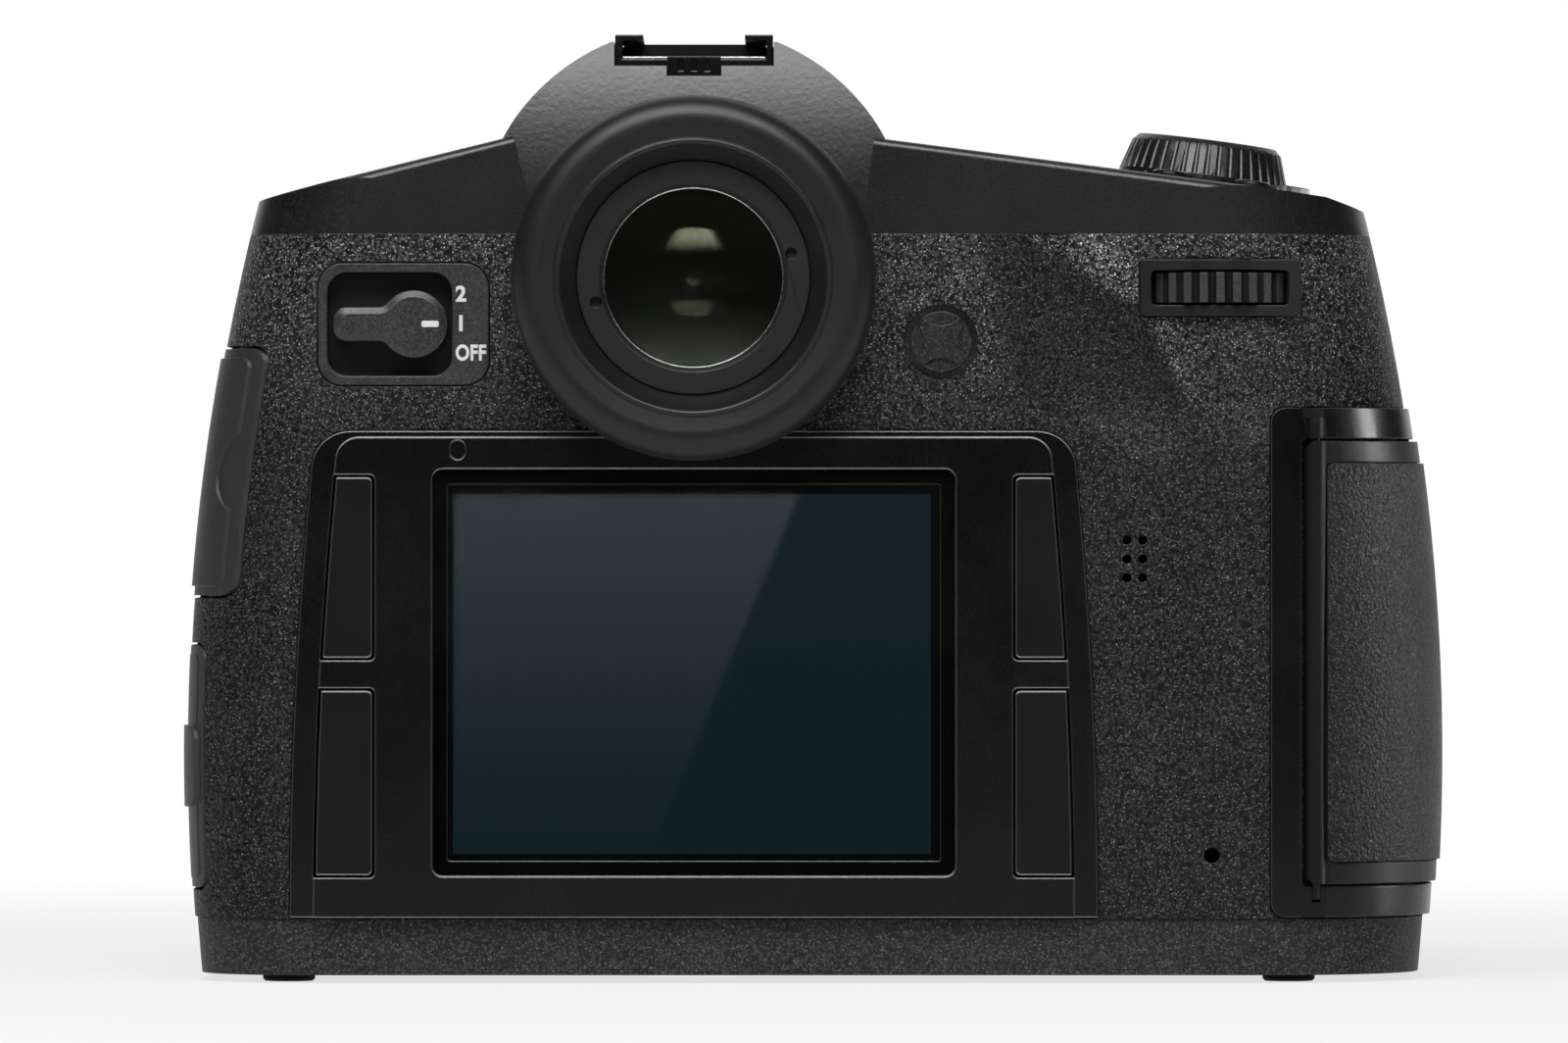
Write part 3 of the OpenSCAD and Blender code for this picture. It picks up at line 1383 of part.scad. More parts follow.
module port_sockets() {
    color(satin) difference() {
        union() {
            intersection() {
                body_form(wall + seat_gap, base_h + 3, seam_z - 12);
                union() {
                    block([-far, -13, 50], [-50, 1, 78]);
                    block([-far, -13, 13], [-50, 1, 40]);
                }
            }
            intersection() {
                body_form(flap_t + move_gap + 0.1, base_h, seam_z);
                socket_holes(0);
                block([-far, -far, 0], [-52, far, far]);
            }
        }
        prism_x(-far, -54) {
            translate([-6, 72]) circle(2.6);
            round_rect([-11.2, 54], [-1.8, 57], 0.8);
            translate([-6, 64]) circle(1.4);
            translate([-5, 32]) circle(3.7);
            round_rect([-9.2, 17], [-1.8, 21], 0.8);
        }
    }
}

module speaker() {
    color(steel) {
        rod_y(speaker_x, speaker_z, 6, inner_rear_y, inner_rear_y + 2.4);
        rod_y(speaker_x, speaker_z, 3.5, inner_rear_y + 2, inner_rear_y + 3.4);
    }
}

// Lens mount

// Place of a mount screw's head on the ring
module mount_screw_place(a) {
    translate([(mount_r + throat_r + 2.6) / 2 * cos(a), flange_y - 0.5, lens_z + (mount_r + throat_r + 2.6) / 2 * sin(a)])
        children();
}

// Place of the lock pin's axis
module lock_pin_place() {
    translate([-pin_ring_r * cos(13), 0, lens_z - pin_ring_r * sin(13)]) children();
}

module lens_mount_ring() {
    color(steel) difference() {
        union() {
            turn_y(0, lens_z) translate([throat_r, collar_y]) square([mount_r - throat_r, mount_t]);
            for (a = [0, 120, 240]) {
                intersection() {
                    turn_y(0, lens_z) translate([throat_r - claw_depth, collar_y]) square([claw_depth + 1, 1.4]);
                    translate([0, 0, lens_z]) rotate([0, a, 0])
                        block([-15, -far, 0], [15, far, far]);
                }
            }
        }
        for (a = [30 : 60 : 330]) {
            mount_screw_place(a) rotate([90, 0, 0]) translate([0, 0, -over]) {
                cylinder(r = screw_head_r + seat_gap, h = over + 1.2);
                cylinder(r = screw_head_r - 0.4 + seat_gap, h = far);
            }
        }
        lock_pin_place() rotate([90, 0, 0]) translate([0, 0, -far]) cylinder(r = lock_pin_r + run_gap, h = 2 * far);
    }
}

module screws() {
    color(steel) {
        for (a = [30 : 60 : 330]) {
            mount_screw_place(a) rotate([90, 0, 0]) difference() {
                union() {
                    cylinder(r = screw_head_r, h = 1.2);
                    cylinder(r = screw_head_r - 0.4, h = 7);
                }
                cross_slot();
            }
        }
        for (p = base_screw_places) {
            translate([p[0], p[1], 0.2]) difference() {
                union() {
                    cylinder(r = screw_head_r + 0.5, h = 1.2);
                    cylinder(r = screw_head_r - 0.3, h = 6);
                }
                cross_slot();
            }
        }
    }
}

// The cross in a screw's head
module cross_slot() {
    block([-0.8, -0.2, -over], [0.8, 0.2, 0.5]);
    block([-0.2, -0.8, -over], [0.2, 0.8, 0.5]);
}

// Outline of the contact block
module contact_outline() {
    intersection() {
        difference() {
            translate([0, lens_z]) circle(throat_r + 2 - seat_gap);
            translate([0, lens_z]) circle(throat_r - 2.2);
        }
        translate([-11, 0]) square([22, lens_z - 20]);
    }
}

module lens_contacts() {
    y1 = collar_y - 0.3;
    color(rubber) {
        prism_y(y1 - 5, y1) contact_outline();
        for (i = [-4 : 4]) {
            translate([0, 0, lens_z]) rotate([0, i * 4.4, 0]) translate([0, y1 + 1.1, 1.1 - throat_r])
                rotate([90, 0, 0]) cylinder(r = 0.55, h = 2);
        }
    }
}

module lens_release() {
    pin = [-pin_ring_r * cos(13), lens_z - pin_ring_r * sin(13)];
    y0 = inner_front_y - unlock_travel - 2.8;
    y1 = y0 + 2.4;
    lean = atan2(pin[1] - unlock_z, pin[0] + unlock_x);
    color(satin) {
        rod_y(-unlock_x, unlock_z, unlock_r, y0, front_y + unlock_proud);
        rod_y(-unlock_x, unlock_z, unlock_r + 1.2, y0, y1);
        rod_y(pin[0], pin[1], lock_pin_r, y0, flange_y + 1.4);
        translate([-unlock_x, y0, unlock_z]) rotate([0, -lean, 0])
            block([0, 0, -1.1], [norm([pin[0] + unlock_x, pin[1] - unlock_z]), 2.4, 1.1]);
    }
}

// Axes of the two strap lugs
module lug_place(side) {
    r = side < 0 ? front_left_r : grip_nose_r;
    edge = side < 0 ? body_left : body_right;
    front = side < 0 ? front_y : grip_depth;
    draw_in = side_arc_r - sqrt(pow(side_arc_r, 2) - pow(lug_z - side_arc_z, 2));
    translate([side * (edge - r - draw_in), front - r, lug_z]) rotate([0, 0, side < 0 ? 180 - lug_lean : lug_lean])
        translate([r, 0, 0]) children();
}

// Shanks of the strap lugs, grown by a gap
module lug_shanks(grow) {
    for (side = [-1, 1]) {
        lug_place(side) translate([-wall - 2, 0, 0]) rotate([0, 90, 0]) cylinder(r = 1.6 + grow, h = wall + 4);
    }
}

module strap_lugs() {
    color(steel) difference() {
        union() {
            for (side = [-1, 1]) {
                lug_place(side) translate([-wall - 1.4, 0, 0]) rotate([0, 90, 0]) cylinder(r = 1.6, h = wall + 2.4);
                lug_place(side) translate([lug_r + 0.4, 0, -1]) cylinder(r = lug_r, h = 2);
            }
        }
        for (side = [-1, 1]) {
            lug_place(side) translate([lug_r + 0.4, 0, -over - 1]) cylinder(r = lug_eye_r, h = 4);
        }
    }
}

// Mirror box and viewfinder

module mirror_box() {
    x1 = box_half_w + box_wall;
    color(rubber) difference() {
        block([-x1, box_rear_y, box_bottom], [x1, inner_front_y, box_top]);
        block([-box_half_w, box_rear_y + box_wall, box_bottom + box_wall],
            [box_half_w, inner_front_y - box_wall, box_top - 2]);
        intersection() {
            rod_y(0, lens_z, throat_r + 1.6, inner_front_y - 3, far);
            block([-box_half_w, -far, box_bottom + box_wall], [box_half_w, far, box_top - 2]);
        }
        block([-gate_w / 2, -far, lens_z - gate_h / 2], [gate_w / 2, inner_front_y - 5, lens_z + gate_h / 2]);
        block([-field_w / 2, mirror_y + 2, box_top - 4], [field_w / 2, inner_front_y - 3, box_top + over]);
        translate([-far, mirror_y, mirror_z]) rotate([0, 90, 0]) cylinder(r = mirror_pin_r + run_gap, h = 2 * far);
    }
}

module reflex_mirror() {
    pin_half = box_half_w + box_wall - 0.2;
    taper = 2.4;
    color(glass) translate([0, mirror_y, mirror_z]) {
        rotate([-mirror_tilt, 0, 0]) translate([0, 0, -mirror_t]) linear_extrude(mirror_t)
            polygon([[-mirror_half_w - taper, 0], [mirror_half_w + taper, 0], [mirror_half_w + taper, 14],
                [mirror_half_w, mirror_len], [-mirror_half_w, mirror_len], [-mirror_half_w - taper, 14]]);
        translate([-box_half_w + move_gap, 0, 0]) rotate([0, 90, 0]) cylinder(r = 1.3, h = 2 * (box_half_w - move_gap));
        translate([-pin_half, 0, 0]) rotate([0, 90, 0]) cylinder(r = mirror_pin_r, h = 2 * pin_half);
    }
}

module focusing_screen() {
    color(glass) block([-field_w / 2 - 2, mirror_y + 0.6, box_top], [field_w / 2 + 2, inner_front_y - 1.6, box_top + screen_t]);
}

module pentaprism() {
    z0 = box_top + screen_t;
    y0 = mirror_y - 6;
    y1 = inner_front_y - 1.2;
    color(glass) intersection() {
        prism_x(-prism_half_w, prism_half_w)
            polygon([[y0, z0], [y1, z0], [y1, z0 + 9], [12, hump_z + 14.6], [y0, hump_z + 8]]);
        prism_y(-far, far) polygon([[-prism_half_w, z0 - 1], [prism_half_w, z0 - 1], [prism_half_w, hump_z - 1],
            [3, hump_z + 18], [-3, hump_z + 18], [-prism_half_w, hump_z - 1]]);
    }
}

// Shutter, sensor and board

module shutter_frame() {
    top = lens_z + gate_h / 2 + 2.6;
    color(rubber) difference() {
        block([-gate_w / 2 - 5, shutter_y, blade_stack - 1.4], [gate_w / 2 + 5, box_rear_y, top]);
        block([-gate_w / 2 - 2.6, shutter_y + 0.8, blade_stack - 0.4], [gate_w / 2 + 2.6, box_rear_y - 0.8, top - 0.8]);
        block([-gate_w / 2, -far, lens_z - gate_h / 2], [gate_w / 2, far, lens_z + gate_h / 2]);
    }
}

module blade(y0, z0) {
    half_w = gate_w / 2 + 2.6 - move_gap;
    color(steel) block([-half_w, y0, z0], [half_w, y0 + blade_t, z0 + blade_h]);
}

module shutter_blade_upper() {
    blade(box_rear_y - 0.8 - 0.35 - blade_t, lens_z + gate_h / 2 + 1.2 - blade_h);
}

module shutter_blade_lower() {
    blade(shutter_y + 0.8 + 0.35, lens_z - gate_h / 2 - 1.2);
}

module image_sensor() {
    plate_y1 = sensor_y - 3;
    color(steel) {
        block([-field_w / 2 - 4.5, sensor_y - 3.2, lens_z - field_h / 2 - 4],
            [field_w / 2 + 4.5, sensor_y + 0.9, lens_z + field_h / 2 + 4]);
        block([-gate_w / 2 - 5, plate_y1 - 1.6, lens_z - field_h / 2 - 9], [gate_w / 2 + 5, plate_y1, lens_z + field_h / 2 + 5]);
        for (sx = [-1, 1]) {
            rod_y(sx * (gate_w / 2 + 3.2), lens_z - field_h / 2 - 6.5, 1.5, plate_y1 - lap, shutter_y);
        }
    }
}

module main_board() {
    y1 = sensor_y - 6.2;
    color([0.1, 0.28, 0.16]) {
        block([-board_left, y1 - 1.6, base_h + 5.8], [board_right, y1, board_top]);
        for (sx = [-1, 1], sz = [-1, 1]) {
            rod_y(sx * 22, lens_z + sz * 12, 1.6, y1 - lap, sensor_y - 4.6);
        }
        block([-20, y1 - 2.6, 34], [-4, y1 - 1.4, 50]);
        block([6, y1 - 2.6, 36], [20, y1 - 1.4, 48]);
        block([-40, y1 - 2.6, 20], [-30, y1 - 1.4, 30]);
    }
}

// Battery

module battery_chamber() {
    x0 = battery_x - battery_w / 2 - battery_gap;
    x1 = battery_x + battery_w / 2 + battery_gap;
    y0 = battery_y - battery_d / 2 - battery_gap;
    y1 = battery_y + battery_d / 2 + battery_gap;
    color(satin) difference() {
        block([x0 - chamber_t, y0 - chamber_t, floor_t], [x1 + chamber_t, y1 + chamber_t, battery_h + 2]);
        block([x0, y0, 0], [x1, y1, battery_h + battery_gap]);
    }
}

module battery() {
    x0 = battery_x - battery_w / 2;
    x1 = battery_x + battery_w / 2;
    y0 = battery_y - battery_d / 2;
    y1 = battery_y + battery_d / 2;
    color(rubber) difference() {
        block([x0, y0, 0.1], [x1, y1, battery_h]);
        translate([battery_x, y0 + 4, -over]) cylinder(r = 4, h = over + 1);
        for (i = [-2 : 2]) {
            block([battery_x + i * 3 - 1, y1 - 3, battery_h - 0.6], [battery_x + i * 3 + 1, y1 + over, battery_h + over]);
        }
    }
}

module battery_latch() {
    color(satin) translate([latch_x, latch_y, 0]) {
        translate([0, 0, 0.9]) cylinder(r = latch_r, h = latch_depth - move_gap - 0.9);
        block([-latch_r + 0.6, -0.9, 0.1], [latch_r - 0.6, 0.9, 1.2]);
        translate([0, 0, 1]) cylinder(r = latch_pin_r, h = floor_t + 1.4);
        translate([0, 0, floor_t + move_gap]) cylinder(r = latch_pin_r + 1.2, h = 1);
    }
}

front_housing();
rear_housing();
top_cover();
base_plate();
base_feet();
tripod_bush();
grip_skin();
display_frame();
display_glass();
display_panel();
light_sensor();
button_upper_left();
button_lower_left();
button_upper_right();
button_lower_right();
mode_plate();
mode_lever();
joystick_carrier();
joystick_gimbal();
joystick_cap();
thumbwheel_frame();
thumbwheel_axle();
thumbwheel();
eyepiece_barrel();
eyecup();
eyepiece_ring();
eyepiece_lens();
hot_shoe_rail();
hot_shoe_spring();
hot_shoe_contacts();
speed_dial();
top_button_left();
top_button_right();
shutter_button();
top_display();
card_door_frame();
card_door();
card_door_pad();
card_sockets();
upper_port_flap();
lower_port_flap();
port_sockets();
speaker();
lens_mount_ring();
screws();
lens_contacts();
lens_release();
strap_lugs();
mirror_box();
reflex_mirror();
focusing_screen();
pentaprism();
shutter_frame();
shutter_blade_upper();
shutter_blade_lower();
image_sensor();
main_board();
battery_chamber();
battery();
battery_latch();
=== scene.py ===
"""Dresses a medium format digital camera and sets it in a small studio, seen from behind.

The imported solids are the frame. Everything is in metres in the frame of the solids: +Z is up, the display
side faces -Y, the lens mount faces +Y, and the origin is the mouth of the tripod socket.
"""

from __future__ import annotations

import logging
import math
from dataclasses import dataclass, field, replace
from enum import Enum
from typing import Callable, Sequence, Union

import bmesh
import bpy
from mathutils import Matrix, Vector

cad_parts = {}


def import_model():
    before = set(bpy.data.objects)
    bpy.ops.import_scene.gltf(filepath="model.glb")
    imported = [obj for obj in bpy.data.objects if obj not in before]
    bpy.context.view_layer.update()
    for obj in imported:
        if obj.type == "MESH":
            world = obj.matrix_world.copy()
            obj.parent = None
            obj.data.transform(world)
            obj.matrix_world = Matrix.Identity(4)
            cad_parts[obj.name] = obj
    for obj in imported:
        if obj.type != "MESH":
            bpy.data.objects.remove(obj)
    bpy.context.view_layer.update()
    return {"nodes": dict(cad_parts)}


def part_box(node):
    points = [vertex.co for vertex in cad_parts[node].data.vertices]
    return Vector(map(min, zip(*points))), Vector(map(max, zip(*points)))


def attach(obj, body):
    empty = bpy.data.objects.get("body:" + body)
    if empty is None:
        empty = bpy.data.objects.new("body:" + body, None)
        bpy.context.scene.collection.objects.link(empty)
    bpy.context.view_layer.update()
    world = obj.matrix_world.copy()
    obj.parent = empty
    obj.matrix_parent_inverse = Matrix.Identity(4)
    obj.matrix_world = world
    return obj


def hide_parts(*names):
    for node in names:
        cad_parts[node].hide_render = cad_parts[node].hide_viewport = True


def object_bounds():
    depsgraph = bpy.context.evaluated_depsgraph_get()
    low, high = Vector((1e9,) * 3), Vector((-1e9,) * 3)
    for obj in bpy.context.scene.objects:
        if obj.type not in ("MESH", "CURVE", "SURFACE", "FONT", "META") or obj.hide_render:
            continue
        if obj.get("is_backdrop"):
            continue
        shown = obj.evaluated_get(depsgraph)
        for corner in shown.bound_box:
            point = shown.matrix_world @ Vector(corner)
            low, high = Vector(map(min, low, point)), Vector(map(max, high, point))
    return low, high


LOG = logging.getLogger("camera_scene")
MM = 0.001
BLACK = (0.0, 0.0, 0.0)
WHITE = (1.0, 1.0, 1.0)
WELD_GAP = 0.002 * MM
DOUBLE_GAP = 0.001 * MM
FLAT_ANGLE = 0.6
SHARP_ANGLE = 20
BEVEL_STEPS = 3
NORMAL_WEIGHT = 50
Colour = tuple[float, float, float]
Place = tuple[float, float, float]
Point = tuple[float, float]
Span = tuple[float, float]
Socket = bpy.types.NodeSocket
Feed = Union[Socket, float]
RELIEF_OUTPUTS = {"Height": "Float", "Fleck": "Float", "Glint": "Float"}


def linear(level: float) -> float:
    """Turns a display level from 0 to 255 into linear light."""
    share = level / 255
    return share / 12.92 if share <= 0.04045 else ((share + 0.055) / 1.055) ** 2.4


def shade(red: float, green: float | None = None, blue: float | None = None) -> Colour:
    """Gives a linear colour from display levels, grey where only one is given."""
    return (linear(red), linear(red if green is None else green), linear(red if blue is None else blue))


def scaled(colour: Colour, share: float) -> Colour:
    """Brightens or darkens a colour."""
    return tuple(min(1.0, part * share) for part in colour)


class Wiring:
    """Adds nodes to one node tree and links them."""

    def __init__(self, tree: bpy.types.NodeTree) -> None:
        """Keeps the tree that is wired.

        Args:
            tree: The node tree of a material, a world or a group.
        """
        self.tree = tree

    def feed(self, target: Socket, source: object) -> None:
        """Links a socket to a source, or sets its value where the source is a plain number or colour.

        Args:
            target: The input socket.
            source: An output socket, a number or a tuple.
        """
        if isinstance(source, bpy.types.NodeSocket):
            self.tree.links.new(source, target)
        elif isinstance(source, tuple) and len(source) == 3 and target.type == "RGBA":
            target.default_value = (*source, 1.0)
        else:
            target.default_value = source

    def add(self, kind: str, inputs: dict[str, object] | None = None, **settings: object) -> bpy.types.Node:
        """Adds a node.

        Args:
            kind: The node's type.
            inputs: Values or sockets for its inputs, by name.
            settings: Its own properties.

        Returns:
            The new node.
        """
        node = self.tree.nodes.new(kind)
        for name, value in settings.items():
            setattr(node, name, value)
        for name, value in (inputs or {}).items():
            self.feed(node.inputs[name], value)
        return node

    def math(self, operation: str, first: Feed, second: Feed = 0.0, clamp: bool = False) -> Socket:
        """Adds a Math node.

        Args:
            operation: The node's operation.
            first: The first number or socket.
            second: The second number or socket.
            clamp: Whether the result is kept from 0 to 1.

        Returns:
            The result's socket.
        """
        node = self.add("ShaderNodeMath", operation=operation, use_clamp=clamp)
        self.feed(node.inputs[0], first)
        self.feed(node.inputs[1], second)
        return node.outputs[0]

    def vector(self, operation: str, first: object, second: object = None, scale: object = None) -> Socket:
        """Adds a Vector Math node.

        Args:
            operation: The node's operation.
            first: The first vector.
            second: The second vector, where the operation has one.
            scale: The factor, where the operation has one.

        Returns:
            The result's socket, a number for a dot product or a length.
        """
        node = self.add("ShaderNodeVectorMath", operation=operation)
        self.feed(node.inputs[0], first)
        if second is not None:
            self.feed(node.inputs[1], second)
        if scale is not None:
            self.feed(node.inputs["Scale"], scale)
        return node.outputs["Value" if operation in ("DOT_PRODUCT", "LENGTH", "DISTANCE") else "Vector"]

    def mix(self, share: Feed, first: object, second: object) -> Socket:
        """Mixes two colours.

        Args:
            share: The share of the second colour.
            first: The colour at 0.
            second: The colour at 1.

        Returns:
            The mixed colour's socket.
        """
        node = self.add("ShaderNodeMix", data_type="RGBA")
        self.feed(node.inputs["Factor"], share)
        self.feed(node.inputs["A"], first)
        self.feed(node.inputs["B"], second)
        return node.outputs["Result"]

    def ramp(self, value: Feed, low: float, high: float, start: float = 0.0, end: float = 1.0) -> Socket:
        """Maps a value smoothly from one range to another.

        Args:
            value: The value.
            low: Where the change starts.
            high: Where the change ends.
            start: The result at low.
            end: The result at high.

        Returns:
            The result's socket.
        """
        inputs = {"Value": value, "From Min": low, "From Max": high, "To Min": start, "To Max": end}
        return self.add("ShaderNodeMapRange", inputs, interpolation_type="SMOOTHSTEP").outputs["Result"]

    def group(self, tree: bpy.types.NodeTree, **inputs: object) -> bpy.types.Node:
        """Places a shared effect.

        Args:
            tree: The effect's node group.
            inputs: Its values, by name.

        Returns:
            The group node.
        """
        return self.add("ShaderNodeGroup", inputs, node_tree=tree)

    def product(self, first: Feed, *factors: Feed) -> Socket:
        """Multiplies numbers, from left to right.

        Args:
            first: The first number or socket.
            factors: What it is multiplied by.

        Returns:
            The result's socket.
        """
        for factor in factors:
            first = self.math("MULTIPLY", first, factor)
        return first

    def place(self) -> Socket:
        """Gives the place on the object, in metres."""
        return self.add("ShaderNodeTexCoord").outputs["Object"]

    def parts(self) -> bpy.types.NodeOutputs:
        """Gives the X, Y and Z of the place on the object."""
        return self.add("ShaderNodeSeparateXYZ", {"Vector": self.place()}).outputs

    def noise(self, place: Socket, scale: Feed, **inputs: float) -> bpy.types.NodeOutputs:
        """Adds a noise.

        Args:
            place: Where it is looked up.
            scale: Its waves per metre.
            inputs: Its other values, by name.

        Returns:
            The node's outputs.
        """
        return self.add("ShaderNodeTexNoise", {"Vector": place, "Scale": scale, **inputs}).outputs

    def mirrored(self) -> Socket:
        """Gives 1 where a thing is looked at in metal or glass."""
        path = self.add("ShaderNodeLightPath").outputs
        return self.math("MAXIMUM", path["Is Glossy Ray"], path["Is Transmission Ray"])

    def direct(self) -> Socket:
        """Gives 1 where light has not yet met a dull surface."""
        return self.math("LESS_THAN", self.add("ShaderNodeLightPath").outputs["Diffuse Depth"], 0.5)

    def show(self, surface: Socket) -> None:
        """Makes a shader the material's surface."""
        self.add("ShaderNodeOutputMaterial", {"Surface": surface})


def blank_material(name: str) -> tuple[bpy.types.Material, Wiring]:
    """Makes a material without nodes.

    Args:
        name: The material's name.

    Returns:
        The material and its wiring.
    """
    made = bpy.data.materials.new(name)
    made.use_nodes = True
    made.node_tree.nodes.clear()
    return made, Wiring(made.node_tree)


def set_out(name: str, mesh: bmesh.types.BMesh, material: bpy.types.Material) -> bpy.types.Object:
    """Makes an object from a mesh and puts it in the scene.

    Args:
        name: The object's name.
        mesh: Its mesh, which is used up.
        material: Its material.

    Returns:
        The object.
    """
    data = bpy.data.meshes.new(name)
    mesh.to_mesh(data)
    mesh.free()
    data.materials.append(material)
    made = bpy.data.objects.new(name, data)
    bpy.context.scene.collection.objects.link(made)
    return made


def hang(name: str, corners: Sequence[Place], material: bpy.types.Material) -> bpy.types.Object:
    """Hangs a sheet that lights nothing and shows only in reflections.

    Args:
        name: The sheet's name.
        corners: Its corners in order.
        material: Its material.

    Returns:
        The sheet's object.
    """
    mesh = bmesh.new()
    mesh.faces.new([mesh.verts.new(corner) for corner in corners])
    hung = set_out(name, mesh, material)
    for kind in ("camera", "diffuse", "shadow"):
        setattr(hung, f"visible_{kind}", False)
    hung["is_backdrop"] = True
    return hung


class EffectGroup:
    """A shader node group with named inputs and outputs."""

    def __init__(self, name: str, inputs: dict[str, tuple[str, object]], outputs: dict[str, str]) -> None:
        """Makes the empty group.

        Args:
            name: The group's name.
            inputs: The kind and first value of each input.
            outputs: The kind of each output.
        """
        self.tree = bpy.data.node_groups.new(name, "ShaderNodeTree")
        for label, (kind, value) in inputs.items():
            socket = self.tree.interface.new_socket(label, in_out="INPUT", socket_type=f"NodeSocket{kind}")
            if value is not None:
                socket.default_value = value
        for label, kind in outputs.items():
            self.tree.interface.new_socket(label, in_out="OUTPUT", socket_type=f"NodeSocket{kind}")
        self.wiring = Wiring(self.tree)
        self.inputs = self.wiring.add("NodeGroupInput").outputs
        self.outputs = self.wiring.add("NodeGroupOutput").inputs

    def close(self, **results: Socket) -> bpy.types.NodeTree:
        """Links the results to the outputs and gives the finished group."""
        for label, source in results.items():
            self.wiring.feed(self.outputs[label], source)
        return self.tree


class Effects:
    """The effects that several finishes share, each built once."""

    _built: dict[str, bpy.types.NodeTree] = {}

    @classmethod
    def get(cls, name: str) -> bpy.types.NodeTree:
        """Gives an effect's group by its name, and builds it on first use."""
        if name not in cls._built:
            cls._built[name] = getattr(cls, name)()
        return cls._built[name]

    @staticmethod
    def pebble_grain() -> bpy.types.NodeTree:
        """Small crowded pebbles, as on grained leather and moulded grips.

        Returns:
            A group with the height of the grain, a fleck that is light on the pebbles and dark between them
            as painted shade in the crevices, and sparse painted glints.
        """
        group = EffectGroup("pebble_grain", {"Size": ("Float", 0.5 * MM)}, RELIEF_OUTPUTS)
        w = group.wiring
        size = group.inputs["Size"]
        per_metre = w.math("DIVIDE", 1.0, size)
        place = w.place()
        drift_scale = 0.55
        drift_reach = 1.5
        dome_power = 1.7
        fold_scale = 1.15
        fold_share = 0.8
        grit_scale = 1.7
        drift = w.noise(place, w.product(per_metre, drift_scale), Detail=1.0)
        offset = w.vector("SUBTRACT", drift["Color"], (0.5, 0.5, 0.5))
        bent = w.vector("ADD", place, w.vector("SCALE", offset, scale=w.product(size, drift_reach)))
        cells = w.add("ShaderNodeTexVoronoi", {"Vector": bent, "Scale": per_metre}).outputs["Distance"]
        dome = w.math("SUBTRACT", 1.0, w.math("POWER", cells, dome_power))
        folds = w.noise(bent, w.product(per_metre, fold_scale), Detail=2.0, Roughness=0.62)["Fac"]
        height = w.math("ADD", dome, w.product(folds, fold_share))
        # painted shade: the fleck falls to dark in the crevices between the pebbles
        crest = w.ramp(cells, 0.2, 0.62, 1.0, 0.0)
        fleck = w.product(crest, w.ramp(folds, 0.3, 0.66, 0.4, 1.0))
        fine = w.product(per_metre, grit_scale)
        # painted glints: small bright spots that stand for highlights on the pebbles
        grit = w.add("ShaderNodeTexVoronoi", {"Vector": bent, "Scale": fine}).outputs
        chance = w.vector("DOT_PRODUCT", grit["Color"], (1.0, 0.0, 0.0))
        spot = w.product(w.ramp(grit["Distance"], 0.12, 0.42, 1.0, 0.0), w.ramp(chance, 0.3, 0.8))
        glint = w.product(spot, w.ramp(folds, 0.34, 0.6, 0.35, 1.0))
        return group.close(Height=height, Fleck=fleck, Glint=glint)

    @staticmethod
    def soft_peel() -> bpy.types.NodeTree:
        """The low waves of sprayed paint and of fine moulded plastic.

        Returns:
            A group with the height of the waves, a fleck of fine speckle and sparse painted glints.
        """
        group = EffectGroup("soft_peel", {"Size": ("Float", 0.4 * MM)}, RELIEF_OUTPUTS)
        w = group.wiring
        per_metre = w.math("DIVIDE", 1.0, group.inputs["Size"])
        place = w.place()
        speck_scale = 2.1
        waves = w.noise(place, per_metre, Detail=2.0, Roughness=0.55)["Fac"]
        specks = w.noise(place, w.product(per_metre, speck_scale), Detail=1.0)["Fac"]
        return group.close(Height=waves, Fleck=w.ramp(specks, 0.36, 0.68), Glint=w.ramp(specks, 0.62, 0.72))

    @staticmethod
    def turned_lines() -> bpy.types.NodeTree:
        """Fine rings left by a lathe, about the Z axis of the vector that is given.

        Returns:
            A group with the height of the rings, a fleck that follows them and bright lines.
        """
        inputs = {"Vector": ("Vector", None), "Size": ("Float", 0.2 * MM)}
        group = EffectGroup("turned_lines", inputs, RELIEF_OUTPUTS)
        w = group.wiring
        axial_share = 0.02
        broad_scale = 0.13
        apart = w.vector("MULTIPLY", group.inputs["Vector"], (1.0, 1.0, axial_share))
        along = w.math("DIVIDE", w.vector("LENGTH", apart), group.inputs["Size"])
        rings, broad = (
            w.add("ShaderNodeTexNoise", {"W": along, "Scale": scale, "Detail": detail}, noise_dimensions="1D")
            for scale, detail in ((1.0, 2.0), (broad_scale, 1.0))
        )
        shine = w.ramp(rings.outputs["Fac"], 0.6, 0.75)
        return group.close(Height=rings.outputs["Fac"], Fleck=broad.outputs["Fac"], Glint=shine)

    @staticmethod
    def handling() -> bpy.types.NodeTree:
        """Broad faint patches where hands and cloths have been.

        Returns:
            A group with a tone from 0 to 1.
        """
        group = EffectGroup("handling", {"Size": ("Float", 14 * MM)}, {"Tone": "Float"})
        w = group.wiring
        per_metre = w.math("DIVIDE", 1.0, group.inputs["Size"])
        patches = w.noise(w.place(), per_metre, Detail=4.0, Roughness=0.6)["Fac"]
        return group.close(Tone=w.ramp(patches, 0.3, 0.7))

